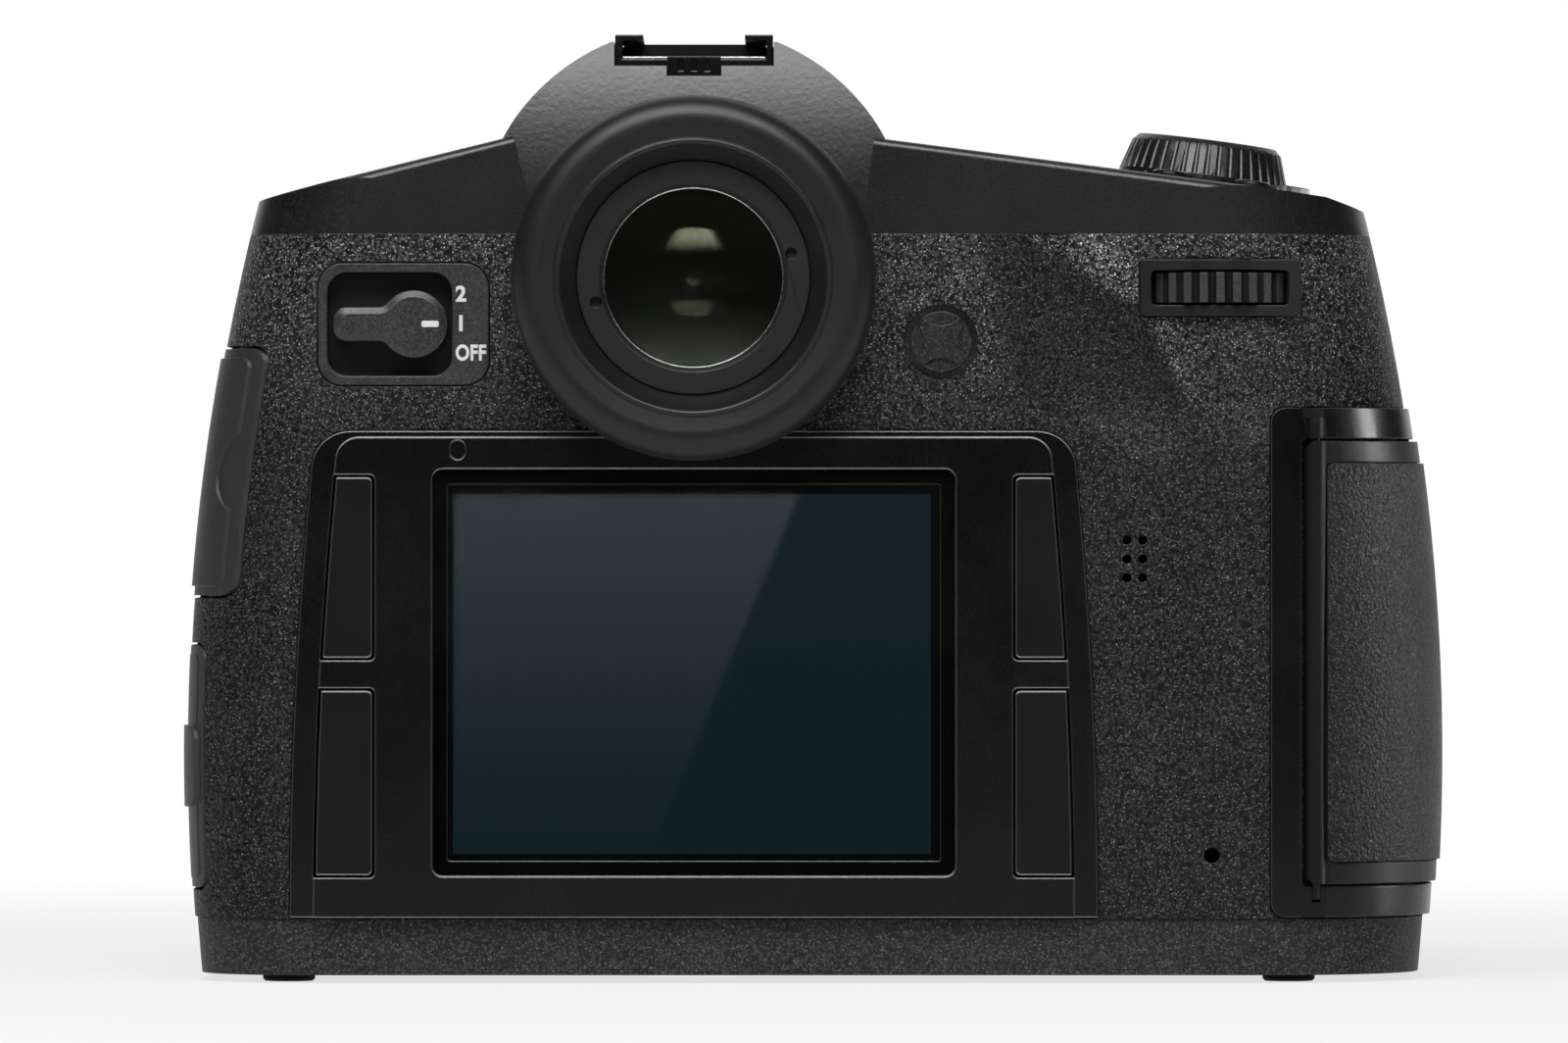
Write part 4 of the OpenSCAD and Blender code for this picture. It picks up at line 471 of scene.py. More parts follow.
    @staticmethod
    def rounded_edge() -> bpy.types.NodeTree:
        """Softens the smallest edges and finds where they are painted brighter, as wear and as painted
        highlights.

        Returns:
            A group with the softened normal, a mask along edges, a mask where the surface slants away from
            the camera's back, and how level the edge lies.
        """
        outputs = {"Normal": "Vector", "Mask": "Float", "Slant": "Float", "Level": "Float"}
        group = EffectGroup("rounded_edge", {"Radius": ("Float", 0.15 * MM)}, outputs)
        w = group.wiring
        soft = w.add("ShaderNodeBevel", {"Radius": group.inputs["Radius"]}, samples=6).outputs["Normal"]
        true = w.add("ShaderNodeNewGeometry").outputs["Normal"]
        turn = w.math("SUBTRACT", 1.0, w.vector("DOT_PRODUCT", soft, true))
        upward = w.math("ABSOLUTE", w.vector("DOT_PRODUCT", soft, (0.0, 0.0, 1.0)))
        level = w.ramp(upward, 0.15, 0.5)
        back = w.math("ABSOLUTE", w.vector("DOT_PRODUCT", soft, (0.0, 1.0, 0.0)))
        side = w.math("SQRT", w.math("SUBTRACT", 1.0, w.product(back, back), clamp=True))
        slant = w.ramp(w.product(back, side), 0.15, 0.42)
        return group.close(Normal=soft, Mask=w.ramp(turn, 0.01, 0.16), Slant=slant, Level=level)


class Grain(Enum):
    """The small relief of a surface."""

    PEBBLE = "pebble_grain"
    PEEL = "soft_peel"
    TURNED = "turned_lines"


@dataclass(frozen=True)
class Lathe:
    """The axis that a turned piece was cut about."""

    centre: Place
    tilt: Place


LENS_AXIS = Lathe((0.0, 0.0, -46 * MM), (math.radians(90), 0.0, 0.0))


@dataclass(frozen=True)
class ThumbRest:
    """The soft ridge beside the thumbwheel, as a bump, with light and shade painted into the grain: painted
    light growing towards the top, a painted highlight on the facet and ridge by the wheel, and painted shade
    in the thumb hollow.

    Each span says where a fade starts and where it ends.
    """

    start: Point = (47.6 * MM, 91.3 * MM)
    bend: Point = (57.9 * MM, 84.5 * MM)
    end: Point = (66.0 * MM, 69.1 * MM)
    slope: float = 0.22
    low: float = 62 * MM
    high: float = 94 * MM
    top_gain: float = 2.8
    painted_facet_highlight_gain: float = 2.6
    hollow_start: Point = (35.5 * MM, 92.0 * MM)
    hollow_end: Point = (39.5 * MM, 70.0 * MM)
    painted_hollow_shade: float = 0.66
    fall_reach: float = 7 * MM
    fall_left: Span = (45 * MM, 50 * MM)
    fall_low: Span = (66 * MM, 74 * MM)
    facet_rise: Span = (-0.2 * MM, 0.7 * MM)
    facet_fall: Span = (2.5 * MM, 6.5 * MM)
    facet_left: Span = (46 * MM, 49 * MM)
    facet_right: Span = (55 * MM, 59 * MM)
    ridge_fade: Span = (0.0, 2.2 * MM)
    painted_ridge_highlight_share: float = 0.45
    ridge_low: Span = (68 * MM, 76 * MM)
    ridge_high: Span = (83 * MM, 86 * MM)
    hollow_top: Span = (-1.0 * MM, 0.0)
    hollow_left: Span = (0.0, 4.0 * MM)
    hollow_low: Span = (68 * MM, 76 * MM)

    @staticmethod
    def beyond(w: Wiring, x: Socket, z: Socket, first: Point, last: Point) -> Socket:
        """Gives the distance of a place above and right of a line.

        Args:
            w: The material's wiring.
            x: The place's X.
            z: The place's Z.
            first: The line's upper end.
            last: The line's lower end.

        Returns:
            The distance's socket, below 0 on the other side.
        """
        length = math.dist(first, last)
        across = ((first[1] - last[1]) / length, (last[0] - first[0]) / length)
        right = w.product(w.math("SUBTRACT", x, first[0]), across[0])
        above = w.product(w.math("SUBTRACT", z, first[1]), across[1])
        return w.math("ADD", right, above)

    def fields(self, w: Wiring) -> tuple[Socket, Socket]:
        """Gives the ridge's height in metres and the gain that paints light and shade into the grain's
        colour.

        Args:
            w: The material's wiring.

        Returns:
            The sockets of the height and of the painted light and shade gain.
        """
        parts = w.parts()
        x, z = parts["X"], parts["Z"]
        upper = self.beyond(w, x, z, self.start, self.bend)
        lower = self.beyond(w, x, z, self.bend, self.end)
        outer = w.math("MAXIMUM", upper, lower)
        apart = w.math("MINIMUM", w.math("MAXIMUM", outer, 0.0), self.fall_reach)
        there = w.product(w.ramp(x, *self.fall_left), w.ramp(z, *self.fall_low))
        height = w.product(apart, -self.slope, there)
        # painted highlight: the facet left of the wheel and the ridge are painted brighter
        facet = w.product(w.ramp(upper, *self.facet_rise), w.ramp(upper, *self.facet_fall, 1.0, 0.0))
        span = w.product(w.ramp(x, *self.facet_left), w.ramp(x, *self.facet_right, 1.0, 0.0))
        crest = w.ramp(w.math("ABSOLUTE", lower), *self.ridge_fade, self.painted_ridge_highlight_share, 0.0)
        along = w.product(w.ramp(z, *self.ridge_low), w.ramp(z, *self.ridge_high, 1.0, 0.0))
        lit = w.math("ADD", w.product(facet, span), w.product(crest, along))
        # painted light: the grain's colour grows brighter towards the top, as if lit from above
        upward = w.ramp(z, self.low, self.high, 1.0, self.top_gain)
        gain = w.math("ADD", upward, w.product(lit, self.painted_facet_highlight_gain))
        # painted shade: the thumb hollow is painted darker
        below = w.ramp(outer, *self.hollow_top, 1.0, 0.0)
        right = w.ramp(self.beyond(w, x, z, self.hollow_start, self.hollow_end), *self.hollow_left)
        dark = w.product(below, right, w.ramp(z, *self.hollow_low))
        kept = w.math("SUBTRACT", 1.0, w.product(dark, self.painted_hollow_shade))
        return height, w.product(gain, kept)


@dataclass(frozen=True)
class Finish:
    """An opaque surface: its colour, gloss and relief."""

    name: str
    colour: Colour
    roughness: float
    grain: Grain = Grain.PEEL
    grain_size: float = 0.3 * MM
    grain_depth: float = 0.004 * MM
    fleck: float = 0.2
    glint: float = 0.0
    patchiness: float = 0.1
    rough_spread: float = 0.08
    edge: float = 0.12 * MM
    edge_gain: float = 1.3
    level_gain: float = 1.0
    slanted: bool = False
    metallic: float = 0.0
    specular: float = 0.5
    coat: float = 0.0
    sheen: float = 0.0
    rest: ThumbRest | None = None
    edge_share: float = 0.6
    patch_gain: float = 1.8
    coat_roughness: float = 0.08
    sheen_roughness: float = 0.4

    def relief(self, w: Wiring) -> bpy.types.Node:
        """Places the effect that gives the small relief.

        Args:
            w: The material's wiring.

        Returns:
            The effect's group node.
        """
        inputs: dict[str, object] = {"Size": self.grain_size}
        if self.grain is Grain.TURNED:
            turned = {"Vector": w.vector("ADD", w.place(), LENS_AXIS.centre), "Rotation": LENS_AXIS.tilt}
            inputs["Vector"] = w.add("ShaderNodeMapping", turned).outputs["Vector"]
        return w.group(Effects.get(self.grain.value), **inputs)

    def material(self) -> bpy.types.Material:
        """Gives the material, and builds it on first use.

        Returns:
            The finished material.
        """
        known = bpy.data.materials.get(self.name)
        if known:
            return known
        made, w = blank_material(self.name)
        relief = self.relief(w)
        patches = w.group(Effects.get("handling")).outputs["Tone"]
        # flecks: the grain's own tone, and on pebbled finishes also painted shade between the pebbles
        dark = scaled(self.colour, 1 - self.fleck)
        light = scaled(self.colour, 1 + self.fleck)
        flecks = w.mix(relief.outputs["Fleck"], dark, light)
        # painted glints: spots brightened far above the base colour stand for highlights
        flecks_and_painted_glints = w.mix(relief.outputs["Glint"], flecks, scaled(self.colour, 1 + self.fleck + self.glint))
        wear_and_painted_light = w.mix(w.product(patches, self.patchiness), flecks_and_painted_glints, scaled(self.colour, self.patch_gain))
        bent: dict[str, object] = {}
        # edges are painted brighter along the mask: partly wear, mostly painted highlight, brighter still on
        # level edges as if lit from above
        if self.edge:
            edges = w.group(Effects.get("rounded_edge"), Radius=self.edge)
            upright = scaled(self.colour, self.edge_gain)
            rim = w.mix(edges.outputs["Level"], upright, scaled(upright, self.level_gain))
            mask = edges.outputs["Slant" if self.slanted else "Mask"]
            wear_and_painted_light = w.mix(w.product(mask, self.edge_share), wear_and_painted_light, rim)
            bent["Normal"] = edges.outputs["Normal"]
        if self.rest:
            height, gain = self.rest.fields(w)
            wear_and_painted_light = w.vector("SCALE", wear_and_painted_light, scale=gain)
            ridge = w.add("ShaderNodeBump", {"Height": height, "Distance": 1.0, **bent})
            bent["Normal"] = ridge.outputs["Normal"]
        spread = w.product(w.math("SUBTRACT", patches, 0.5), self.rough_spread)
        grit = w.product(w.math("SUBTRACT", relief.outputs["Fleck"], 0.5), self.rough_spread)
        rough = w.math("ADD", w.math("ADD", spread, grit), self.roughness, clamp=True)
        grain = {"Height": relief.outputs["Height"], "Distance": self.grain_depth}
        bump = w.add("ShaderNodeBump", {**grain, **bent})
        shader = w.add("ShaderNodeBsdfPrincipled", {
            "Base Color": wear_and_painted_light, "Roughness": rough, "Normal": bump.outputs["Normal"],
            "Metallic": self.metallic, "Specular IOR Level": self.specular,
            "Coat Weight": self.coat, "Coat Roughness": self.coat_roughness,
            "Sheen Weight": self.sheen, "Sheen Roughness": self.sheen_roughness,
        })
        w.show(shader.outputs["BSDF"])
        return made


@dataclass(frozen=True)
class Glass:
    """A clear piece, coated or tinted."""

    name: str
    tint: Colour
    roughness: float = 0.02
    ior: float = 1.5
    mirror_tint: Colour = WHITE
    smear_size: float = 9 * MM
    smear_rough: float = 0.02
    smear_share: float = 0.08
    smear_loss: float = 0.8

    def material(self) -> bpy.types.Material:
        """Gives the material, and builds it on first use.

        Returns:
            The finished material.
        """
        known = bpy.data.materials.get(self.name)
        if known:
            return known
        made, w = blank_material(self.name)
        smears = w.group(Effects.get("handling"), Size=self.smear_size).outputs["Tone"]
        rough = w.math("ADD", w.product(smears, self.smear_rough), self.roughness)
        body = w.mix(w.product(smears, self.smear_share), self.tint, scaled(self.tint, self.smear_loss))
        shader = w.add("ShaderNodeBsdfPrincipled", {
            "Base Color": body, "Roughness": rough, "IOR": self.ior, "Transmission Weight": 1.0,
            "Specular Tint": self.mirror_tint,
        })
        w.show(shader.outputs["BSDF"])
        return made


@dataclass(frozen=True)
class Screen:
    """The picture layer of a display that is switched on and empty."""

    name: str
    glow: Colour
    border: Colour
    half_width: float
    low: float
    high: float
    middle: float
    border_fade: float = 0.05 * MM
    grid_scale: float = 4000.0
    grid_share: float = 0.1
    grid_gain: float = 1.35
    unlit_share: float = 0.05
    roughness: float = 0.35
    specular: float = 0.1

    def material(self) -> bpy.types.Material:
        """Gives the material: a dim even glow inside a black border.

        Returns:
            The finished material.
        """
        made, w = blank_material(self.name)
        place = w.place()
        parts = w.parts()
        across = w.math("ABSOLUTE", w.math("SUBTRACT", parts["X"], self.middle))
        soft = self.border_fade
        inside_x = w.ramp(across, self.half_width - soft, self.half_width + soft, 1.0, 0.0)
        above = w.ramp(parts["Z"], self.low - soft, self.low + soft)
        below = w.ramp(parts["Z"], self.high - soft, self.high + soft, 1.0, 0.0)
        lit = w.product(inside_x, w.product(above, below))
        grid = w.noise(place, self.grid_scale, Detail=1.0)["Fac"]
        glow = w.mix(w.product(grid, self.grid_share), self.glow, scaled(self.glow, self.grid_gain))
        shader = w.add("ShaderNodeBsdfPrincipled", {
            "Base Color": w.mix(lit, self.border, scaled(self.glow, self.unlit_share)),
            "Roughness": self.roughness, "Specular IOR Level": self.specular,
            "Emission Color": w.mix(lit, BLACK, glow), "Emission Strength": 1.0,
        })
        w.show(shader.outputs["BSDF"])
        return made


def plain(name: str, level: float, roughness: float, size: float, depth: float, **more: object) -> Finish:
    """Makes a grey finish with the low waves of paint or moulded plastic.

    Args:
        name: The finish's name.
        level: Its display level.
        roughness: Its roughness.
        size: The waves' size in mm.
        depth: The waves' depth in mm.
        more: What differs from a plain finish, by name.

    Returns:
        The finish.
    """
    return Finish(name, shade(level), roughness, Grain.PEEL, size * MM, depth * MM, **more)


# painted shade between the pebbles, painted glints, and the thumb rest's painted light and shade
GRAINED_SHELL = Finish("pebbled_shell", shade(36), 0.48, Grain.PEBBLE, 0.5 * MM, 0.12 * MM, fleck=1.0,
                       glint=14.0, specular=0.2, edge=0.3 * MM, rest=ThumbRest())
SMOOTH_GRAIN = Finish("smooth_grain", shade(52), 0.52, Grain.PEBBLE, 0.5 * MM, 0.06 * MM, fleck=0.7,
                      glint=5.0, specular=0.22, edge=0.3 * MM)
SATIN_COVER = Finish("satin_paint", shade(26), 0.34, Grain.PEEL, 0.7 * MM, 0.035 * MM, fleck=0.4,
                     rough_spread=0.03, edge=0.0)
# edge gains far above 1 paint bright highlight lines along the edges; the level gain paints level edges
# brighter still
SATIN_BLACK = plain("satin_black", 8, 0.27, 0.2, 0.003, specular=0.3, edge=0.3 * MM, edge_gain=55.0)
PANEL_BLACK = replace(SATIN_BLACK, name="panel_black", level_gain=8.0, slanted=True)
DOOR_BLACK = plain("door_black", 10, 0.42, 0.5, 0.012, fleck=0.5, specular=0.3, edge=0.3 * MM,
                   edge_gain=24.0)
BUTTON_BLACK = plain("button_black", 10, 0.4, 0.5, 0.012, fleck=0.4, specular=0.22, edge=0.3 * MM,
                     edge_gain=30.0, level_gain=8.0, slanted=True)
SPECKLED = plain("speckled_plastic", 46, 0.42, 0.45, 0.02, fleck=0.6, glint=0.6, specular=0.5,
                 edge=0.2 * MM, edge_gain=4.0)
HINGE_BLACK = plain("hinge_black", 11, 0.5, 0.4, 0.004, specular=0.2, edge=0.0)
STICK_RUBBER = plain("stick_rubber", 38, 0.38, 0.5, 0.03, fleck=0.5, glint=2.0, specular=0.5)
FRAME_BLACK = plain("frame_black", 22, 0.4, 0.4, 0.008, fleck=0.4, specular=0.4, edge=0.25 * MM)
TAB_BLACK = plain("tab_black", 20, 0.2, 0.3, 0.002, specular=0.7)
RECESS_BLACK = plain("recess_black", 34, 0.7, 0.3, 0.004, specular=0.15)
# painted shade for the thumbwheel's grooves, a darker copy of the recess finish
GROOVE_SHADE = replace(RECESS_BLACK, name="painted_groove_shade", colour=shade(13))
GRIP_RUBBER = Finish("grip_rubber", shade(26), 0.5, Grain.PEBBLE, 0.5 * MM, 0.12 * MM, fleck=1.0,
                     glint=17.0, specular=0.25, edge=0.3 * MM)
EYE_RUBBER = plain("eye_rubber", 24, 0.42, 0.45, 0.012, fleck=0.25, specular=0.36, sheen=0.02)
FLAP_RUBBER = plain("flap_rubber", 42, 0.5, 0.25, 0.006, specular=0.4, edge=0.3 * MM)
SHOE_BLACK = plain("shoe_black", 13, 0.28, 0.3, 0.002, specular=0.45, edge=0.2 * MM)
RING_BLACK = plain("ring_black", 24, 0.5, 0.3, 0.006, specular=0.3)
PRISM_LACQUER = plain("prism_lacquer", 7, 0.45, 0.5, 0.002, specular=0.2)
# painted highlight: the wheel is lifted to a light grey so that its ribs read as lit
WHEEL_RUBBER = plain("wheel_rubber", 66, 0.26, 0.3, 0.006, specular=0.6)
MATT_BLACK = plain("matt_lining", 12, 0.8, 0.3, 0.01, specular=0.2)
GLOSS_BLACK = Finish("gloss_window", shade(10), 0.12, grain_depth=0.0005 * MM, coat=0.4)
STEEL = Finish("ground_steel", shade(190, 191, 194), 0.28, grain_size=0.35 * MM, grain_depth=0.003 * MM,
               metallic=1.0, fleck=0.08)
TURNED_STEEL = Finish("turned_steel", shade(206, 207, 210), 0.24, Grain.TURNED, 0.18 * MM, 0.003 * MM,
                      fleck=0.1, metallic=1.0)
BLACK_STEEL = plain("blackened_steel", 34, 0.34, 0.3, 0.004, metallic=0.6)
SPRING_STEEL = plain("spring_steel", 226, 0.3, 0.3, 0.002, metallic=1.0)
GILT = Finish("gilt", shade(224, 186, 104), 0.25, grain_depth=0.001 * MM, metallic=1.0)
SILVERED = Finish("silvered", shade(232), 0.03, grain_depth=0.0001 * MM, metallic=1.0, rough_spread=0.02)
BOARD_GREEN = Finish("board_green", shade(24, 74, 44), 0.4, grain_size=0.8 * MM, grain_depth=0.01 * MM,
                     coat=0.2)
SILICON = Finish("silicon", shade(34, 46, 58), 0.16, grain_depth=0.0005 * MM, coat=0.7)
WHITE_PAINT = Finish("white_paint", shade(238), 0.5, grain_depth=0.002 * MM, fleck=0.03, edge_gain=1.0)
DISPLAY_GLASS = Glass("display_glass", shade(236, 240, 244), 0.01, 1.5)
COATED_GLASS = Glass("coated_glass", shade(240, 243, 236), 0.02, 1.5, mirror_tint=shade(80, 82, 67))
CLEAR_GLASS = Glass("optical_glass", shade(240, 246, 244), 0.03, 1.52)


@dataclass
class SubAssembly:
    """Solids and added pieces that are built and dressed together."""

    nodes: dict[str, bpy.types.Object]
    made: list[str] = field(default_factory=list)

    def dress(self, finish: Finish | Glass | Screen, *names: str, round_to: float = 0.0,
              angle: float = 32.0) -> None:
        """Gives solids their finish and, where asked, rounded edges.

        Args:
            finish: The finish.
            names: The solids' names.
            round_to: Width of the rounding of their edges, or 0 for none.
            angle: The least turn between two faces, in degrees, that counts as an edge.
        """
        material = finish.material()
        for name in names:
            solid = self.nodes[name]
            solid.data.materials.clear()
            solid.data.materials.append(material)
            if round_to:
                self.soften(solid, round_to, angle)
            self.made.append(name)

    def paint(self, finish: Finish, name: str, inside: Callable[[Vector], bool]) -> None:
        """Gives some faces of a dressed solid a second finish.

        Args:
            finish: The second finish.
            name: The solid's name.
            inside: Tells from the middle of a face whether it is painted.
        """
        data = self.nodes[name].data
        data.materials.append(finish.material())
        last = len(data.materials) - 1
        for face in data.polygons:
            if inside(face.center):
                face.material_index = last

    @staticmethod
    def soften(solid: bpy.types.Object, width: float, angle: float) -> None:
        """Rounds the sharp edges of a solid with modifiers, which leave its own mesh as it is.

        Args:
            solid: The solid's object.
            width: Width of the rounding.
            angle: The least turn, in degrees, that counts as an edge.
        """
        weld = solid.modifiers.new("weld", "WELD")
        weld.merge_threshold = WELD_GAP
        flat = solid.modifiers.new("flat", "DECIMATE")
        flat.decimate_type = "DISSOLVE"
        flat.angle_limit = math.radians(FLAT_ANGLE)
        bevel = solid.modifiers.new("bevel", "BEVEL")
        bevel.width = width
        bevel.segments = BEVEL_STEPS
        bevel.limit_method = "ANGLE"
        bevel.angle_limit = math.radians(angle)
        bevel.miter_outer = "MITER_ARC"
        solid.modifiers.new("normals", "WEIGHTED_NORMAL").weight = NORMAL_WEIGHT

    def add(self, name: str, mesh: bmesh.types.BMesh, finish: Finish | Glass, body: str, slot: str,
            *replaced: str) -> bpy.types.Object:
        """Makes a piece from a mesh, sets it on a body and gives it its finish.

        Args:
            name: The piece's name.
            mesh: Its mesh, which is used up.
            finish: Its finish.
            body: The body that it moves with.
            slot: The material slot that it belongs to; not used.
            replaced: The solids that it stands for.

        Returns:
            The piece's object.
        """
        bmesh.ops.recalc_face_normals(mesh, faces=mesh.faces)
        piece = set_out(name, mesh, finish.material())
        piece.data.polygons.foreach_set("use_smooth", [True] * len(piece.data.polygons))
        piece.data.set_sharp_from_angle(angle=math.radians(SHARP_ANGLE))
        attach(piece, body)
        if replaced:
            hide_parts(*replaced)
        self.made.append(name)
        return piece

    def build(self) -> None:
        """Builds and dresses the pieces."""
        raise NotImplementedError


def loft(rings: Sequence[Sequence[Vector]], cap_first: bool = True,
         cap_last: bool = True) -> bmesh.types.BMesh:
    """Skins a row of closed rings that have the same number of points.

    Args:
        rings: The rings, in order.
        cap_first: Whether the first ring is closed with a face.
        cap_last: Whether the last ring is closed with a face.

    Returns:
        The mesh.
    """
    mesh = bmesh.new()
    rows = [[mesh.verts.new(point) for point in ring] for ring in rings]
    for lower, upper in zip(rows, rows[1:]):
        count = len(lower)
        for i in range(count):
            j = (i + 1) % count
            mesh.faces.new((lower[i], lower[j], upper[j], upper[i]))
    if cap_first:
        mesh.faces.new(list(reversed(rows[0])))
    if cap_last:
        mesh.faces.new(rows[-1])
    return mesh


def arc(centre: Point, radius: float, start: float, end: float, steps: int) -> list[Point]:
    """Points along an arc, both ends included.

    Args:
        centre: The arc's centre.
        radius: Its radius.
        start: Its first angle in degrees.
        end: Its last angle in degrees.
        steps: The number of steps.

    Returns:
        The points.
    """
    angles = [math.radians(start + (end - start) * i / steps) for i in range(steps + 1)]
    return [(centre[0] + radius * math.cos(a), centre[1] + radius * math.sin(a)) for a in angles]


def ring(radius: float, thickness: float, centre: Vector, steps: int = 120) -> bmesh.types.BMesh:
    """A thin round ring about an axis along Y.

    Args:
        radius: Radius of its middle line.
        thickness: Radius of its section.
        centre: Its centre.
        steps: The number of steps round it.

    Returns:
        The mesh.
    """
    section = arc((radius, 0.0), thickness, 0, 315, 7)
    rings = []
    for step in range(steps + 1):
        turn = Matrix.Rotation(2 * math.pi * step / steps, 3, "Y")
        rings.append([centre + turn @ Vector((r, y, 0.0)) for r, y in section])
    mesh = loft(rings, False, False)
    bmesh.ops.remove_doubles(mesh, verts=mesh.verts, dist=DOUBLE_GAP)
    return mesh


@dataclass
class Shell(SubAssembly):
    """Housings, covers, base and what is fixed to their outside."""

    seam_round: float = 0.3 * MM

    def build(self) -> None:
        """Dresses the housings, the top cover, the base and the small fixed pieces."""
        self.dress(GRAINED_SHELL, "rear_housing", "front_housing", round_to=self.seam_round)
        self.dress(SATIN_COVER, "top_cover")
        self.dress(SMOOTH_GRAIN, "base_plate", round_to=0.6 * MM)
        self.dress(GRIP_RUBBER, "grip_skin", round_to=0.25 * MM)
        self.dress(MATT_BLACK, "base_feet", "speaker")
        self.dress(STEEL, "tripod_bush", "strap_lugs", "screws")


@dataclass
class DisplayBack(SubAssembly):
    """The rear display with its frame, glass and four buttons."""

    lit_half_width: float = 30.45 * MM
    lit_middle: float = -0.25 * MM
    lit_low: float = 15.5 * MM
    lit_high: float = 61.4 * MM

    def build(self) -> None:
        """Dresses the frame, the glass, the picture layer and the buttons."""
        screen = Screen("picture_layer", shade(18, 31, 38), shade(14, 15, 13), self.lit_half_width,
                        self.lit_low, self.lit_high, self.lit_middle)
        self.dress(PANEL_BLACK, "display_frame", round_to=0.22 * MM)
        self.dress(DISPLAY_GLASS, "display_glass")
        self.nodes["display_glass"].visible_shadow = False
        self.dress(screen, "display_panel")
        self.dress(GLOSS_BLACK, "light_sensor")
        for side in ("left", "right"):
            self.dress(BUTTON_BLACK, f"button_upper_{side}", f"button_lower_{side}", round_to=0.22 * MM)


@dataclass
class ModeSwitch(SubAssembly):
    """The rotary mode switch in its sunk plate, with its marks."""

    pivot: Point = (-35.7 * MM, 83.05 * MM)
    hub_radius: float = 4.3 * MM
    arm_half_width: float = 2.15 * MM
    arm_length: float = 10.2 * MM
    neck_radius: float = 1.6 * MM
    tip_radius: float = 1.5 * MM
    lever_depth: float = 4.0 * MM
    chamfer: float = 0.85 * MM
    shoulder: tuple[Span, ...] = ((0.52 * MM, 0.0), (0.42 * MM, 0.05 * MM), (0.06 * MM, 0.75 * MM))
    mark_length: float = 2.2 * MM
    mark_height: float = 0.8 * MM
    mark_margin: float = 0.25 * MM
    mark_corner: float = 0.24 * MM
    mark_levels: Span = (0.02 * MM, -0.03 * MM)
    label_x: float = -30.4 * MM
    label_height: float = 1.9 * MM
    label_width: float = 3.9 * MM
    label_pitch: float = 3.75 * MM
    label_words: tuple[str, ...] = ("2", "1", "OFF")
    capital_share: float = 0.7
    letter_swell: float = 0.1 * MM
    letter_proud: float = 0.02 * MM
    letter_lift: float = 0.01 * MM
    letter_spacing: float = 1.05
    recess_start: float = 0.9 * MM

    def outline(self, inset: float) -> list[Point]:
        """Outline of the lever about its pivot, taken in by inset.

        Args:
            inset: How far every edge moves inwards.

        Returns:
            The points, hub, neck and arm in turn.
        """
        hub = self.hub_radius - inset
        half = self.arm_half_width - inset
        neck = self.neck_radius + inset
        rise = half + neck
        reach = math.sqrt((hub + neck) ** 2 - rise**2)
        lean = math.degrees(math.atan2(rise, -reach))
        tip_corner = min(self.tip_radius, half)
        tip = -self.arm_length + inset
        upper = arc((0.0, 0.0), hub, 0, lean, 26)
        upper += arc((-reach, rise), neck, lean - 180, -90, 8)[1:]
        upper += arc((tip + tip_corner, half - tip_corner), tip_corner, 90, 180, 5)
        return upper + [(x, -z) for x, z in reversed(upper[1:])]

    def lever(self) -> None:
        """Builds the lever: upright sides, a sloping shoulder and a flat top."""
        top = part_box("mode_lever")[0].y
        levels = [(self.lever_depth, 0.0), *self.shoulder, (0.0, self.chamfer)]
        rings = [[Vector((self.pivot[0] + x, top + drop, self.pivot[1] + z)) for x, z in self.outline(inset)]
                 for drop, inset in levels]
        self.add("mode_lever_cap", loft(rings), SPECKLED, "mode_lever", "black_plastic", "mode_lever")
        self.mark(top)

    def mark(self, top: float) -> None:
        """Builds the white index on the hub.

        Args:
            top: The lever's upper face.
        """
        right = self.pivot[0] + self.hub_radius - self.chamfer - self.mark_margin
        centre = (right - self.mark_length / 2, self.pivot[1])
        corner = self.mark_corner
        half = (self.mark_length / 2 - corner, self.mark_height / 2 - corner)
        points: list[Point] = []
        for k, (sx, sz) in enumerate(((1, 1), (-1, 1), (-1, -1), (1, -1))):
            middle = (centre[0] + sx * half[0], centre[1] + sz * half[1])
            points += arc(middle, corner, 90 * k, 90 * k + 90, 4)
        rings = [[Vector((x, y, z)) for x, z in points] for y in (top + level for level in self.mark_levels)]
        self.add("mode_index", loft(rings), WHITE_PAINT, "mode_lever", "satin_cover")

    def labels(self) -> None:
        """Sets the three plain labels beside the lever."""
        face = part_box("mode_plate")[0].y
        for row, word in zip((1, 0, -1), self.label_words):
            text = bpy.data.curves.new(f"mode_label_{word.lower()}", "FONT")
            text.body = word
            text.size = self.label_height / self.capital_share
            text.offset = self.letter_swell
            text.extrude = self.letter_proud
            text.space_character = self.letter_spacing
            text.align_y = "CENTER"
            flat = bpy.data.objects.new(text.name, text)
            flat.location = (self.label_x, face - self.letter_lift, self.pivot[1] + row * self.label_pitch)
            flat.rotation_euler = (math.radians(90), 0.0, 0.0)
            bpy.context.scene.collection.objects.link(flat)
            bpy.context.view_layer.update()
            flat.scale.x = min(1.0, self.label_width / flat.dimensions.x)
            bpy.context.view_layer.update()
            solid = bmesh.new()
            solid.from_mesh(flat.evaluated_get(bpy.context.evaluated_depsgraph_get()).to_mesh())
            bmesh.ops.transform(solid, matrix=flat.matrix_world, verts=solid.verts)
            bmesh.ops.remove_doubles(solid, verts=solid.verts, dist=DOUBLE_GAP)
            bpy.data.objects.remove(flat)
            self.add(f"mode_label_{word.lower()}", solid, WHITE_PAINT, "camera", "black_plastic")

